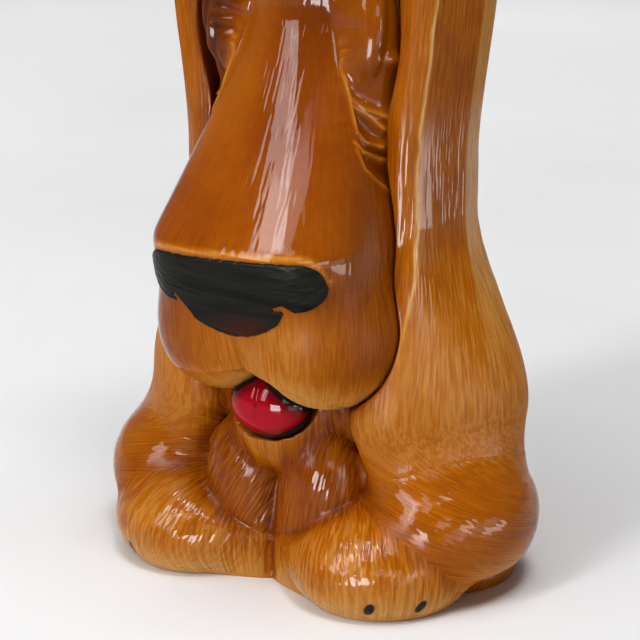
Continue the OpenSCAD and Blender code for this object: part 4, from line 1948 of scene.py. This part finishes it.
@dataclass(frozen=True)
class Studio:
    """A pale floor and wall, soft boxes and the camera."""

    azimuth: float = 32.0
    elevation: float = 18.0
    distance: float = 1.0
    target: Place = (-0.0029, 0.0, 0.1065)
    lens: float = 127.7
    sensor: float = 36.0
    lit: Place = (0.0, 0.0, 0.15)
    dim: float = 0.12
    room_tone: float = 0.3
    wall_tone: float = 0.8
    floor_r: float = 9.0
    floor_tones: tuple[Colour, Colour] = (linear(222, 222, 223), linear(232, 232, 233))
    near: float = 0.12
    far: float = 1.3
    lift: float = 0.45
    boxes: tuple[SoftBox, ...] = (
        SoftBox("window_front", (-0.42, -1.75, 1.35), (0.3, 1.8), 27.0),
        SoftBox("window_right", (0.62, -0.45, 1.95), (0.5, 0.5), 14.0),
        SoftBox("sky", (0.0, -0.2, 2.3), (1.6, 1.6), 26.0),
        SoftBox("card_bridge", (-0.75, -1.65, 1.35), (0.6, 1.8), 50.0, Lamp.CARD),
        SoftBox("card_brow", (-0.18, -0.98, 1.43), (1.05, 0.3), 8.5, Lamp.CARD),
        SoftBox("card_top", (0.0, -0.55, 2.2), (0.5, 0.35), 20.0, Lamp.CARD),
        SoftBox("card_legs", (0.13, -0.55, 0.07), (0.2, 0.18), 5.0, Lamp.CARD),
        SoftBox("card_low", (0.62, -0.42, 0.1), (0.3, 0.2), 0.7, Lamp.CARD),
        SoftBox("card_mid", (0.65, -0.72, 0.48), (0.35, 0.2), 1.6, Lamp.CARD),
        SoftBox("card_side", (0.73, -0.24, 0.23), (0.22, 0.16), 1.6, Lamp.CARD),
        SoftBox("card_ear", (0.53, 0.08, 0.03), (0.25, 0.06), 0.6, Lamp.CARD),
        SoftBox("card_right", (0.54, -0.06, 0.1), (0.42, 0.14), 0.55, Lamp.CARD),
    )

    def build(self) -> None:
        """Makes the floor, the lamps, the world and the camera."""
        self.floor()
        for box in self.boxes:
            box.hang(self.lit)
        self.room()
        self.camera()
        bpy.context.scene.view_settings.view_transform = "Standard"

    def room(self) -> None:
        """A dim room whose walls are pale to the eye and light grey in the gloss."""
        world = bpy.data.worlds.new("room")
        world.use_nodes = True
        kit = Nodes(world)
        back = world.node_tree.nodes["Background"].inputs
        back["Color"].default_value = (1.0, 1.0, 1.0, 1.0)
        gloss = kit.math("MULTIPLY", kit.seen(), self.room_tone - self.dim)
        straight = kit.add("ShaderNodeLightPath").outputs["Is Camera Ray"]
        wall = kit.math("MULTIPLY", straight, self.wall_tone - self.room_tone)
        kit.link(kit.math("ADD", kit.math("ADD", gloss, self.dim), wall), back["Strength"])
        bpy.context.scene.world = world

    def floor(self) -> None:
        """A wide level sheet of pale grey, lifted a little where it lies far from the dog."""
        r = self.floor_r
        points = np.array([[-r, -r, 0.0], [r, -r, 0.0], [r, r, 0.0], [-r, r, 0.0]])
        sheet = make_object("floor", points, np.array([[0, 1, 2, 3]]), np.zeros((0, 3), np.int64), {})
        kit = Nodes.fresh("pale_floor")
        pale = kit.ramp(kit.noise(3.0, 5.0), tuple(zip((0.3, 0.7), self.floor_tones)))
        away = kit.add("ShaderNodeVectorMath", operation="LENGTH")
        kit.link(kit.add("ShaderNodeTexCoord").outputs["Object"], away.inputs[0])
        far = kit.graded(away.outputs["Value"], self.near, self.far, self.lift)
        kit.fill(kit.shader, Base_Color=pale, Roughness=0.6, Specular_IOR_Level=0.1)
        kit.fill(kit.shader, Emission_Color=pale, Emission_Strength=kit.math("MULTIPLY", far, kit.seen()))
        sheet.data.materials.append(kit.owner)

    def camera(self) -> None:
        """A camera at the studio's azimuth and elevation, looking at its target."""
        a, e = math.radians(self.azimuth), math.radians(self.elevation)
        back = (math.sin(a) * math.cos(e), -math.cos(a) * math.cos(e), math.sin(e))
        lens = bpy.data.cameras.new("camera")
        lens.lens = self.lens
        lens.sensor_width = self.sensor
        thing = bpy.data.objects.new("camera", lens)
        thing.location = tuple(t + self.distance * b for t, b in zip(self.target, back))
        aim(thing, self.target)
        bpy.context.scene.collection.objects.link(thing)
        bpy.context.scene.camera = thing


@dataclass(frozen=True)
class Dresser:
    """Gives each finished piece its glaze, its body, its node and its slot."""

    glazes: dict[str, bpy.types.Material]

    def dress(self, piece: bpy.types.Object, node: str, slot: str) -> None:
        """Dresses one piece and reports it.

        Args:
            piece: the mesh object.
            node: the node that the piece stands for.
            slot: the record's material slot.
        """
        piece.data.materials.append(self.glazes[slot])
        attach(piece, "root")
        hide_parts(node)
        LOG.info("%s stands for %s: %d faces in %s", piece.name, node, len(piece.data.polygons), slot)


def build_hound(dresser: Dresser) -> None:
    """Builds every casting and dresses it.

    Args:
        dresser: what gives each piece its glaze, its body and its node, and reports it.
    """
    body = Body()
    head = Head()
    mouth = Mouth()
    figure = Figure(head, body, mouth, ForeLegs(), HindLegs(), Ears())
    eyes = Eyes(head)
    dresser.dress(figure.build("body_casting", "body", body.core, (280, 160), cap=0.3), "body", "chestnut_glaze")
    dresser.dress(head.build(), "head", "amber_glaze")
    dresser.dress(Nose(head).build(), "nose", "black_glaze")
    dresser.dress(
        figure.build("lower_jaw_casting", "jaw", point(0.0, -31.0, 62.0), (280, 160)), "lower_jaw", "amber_glaze"
    )
    dresser.dress(mouth.build_tongue(figure), "tongue", "red_glaze")
    limbs = (
        ("foreleg", "leg", point(15.0, -36.0, 42.0), (240, 150), "amber_glaze"),
        ("forepaw", "paw", point(52.0, -36.0, 14.0), (380, 230), "tan_glaze"),
        ("haunch", "haunch", point(80.0, 4.0, 26.0), (380, 220), "amber_glaze"),
        ("hind_foot", "foot", point(70.0, 16.0, 4.0), (160, 90), "tan_glaze"),
    )
    for side in Side:
        for word, form, core, size, slot in limbs:
            name = f"{side.word}_{word}"
            dresser.dress(figure.build(f"{name}_casting", form, core, size, side), name, slot)
        ear = figure.build(f"{side.word}_ear_casting", "ear", figure.ears.core, (440, 220), side, 0.12)
        dresser.dress(ear, f"{side.word}_ear", "chestnut_glaze")
        dresser.dress(eyes.build_eye(side), f"{side.word}_eye", "white_glaze")
        dresser.dress(eyes.build_lid(side), f"{side.word}_eyelid", "amber_glaze")
    dresser.dress(Tail().build(), "tail", "chestnut_glaze")


def main() -> None:
    """Builds the hound and its studio."""
    logging.basicConfig(level=logging.INFO, format="%(name)s: %(message)s")
    fur = {name: FurGlaze(name).material() for name in ("amber_glaze", "chestnut_glaze", "tan_glaze")}
    painted = {
        "black_glaze": NoseBlack().material(),
        "red_glaze": TongueRed().material(),
        "white_glaze": EyeWhite().material(),
    }
    build_hound(Dresser({**fur, **painted}))
    Studio().build()


if __name__ == "__main__":
    main()
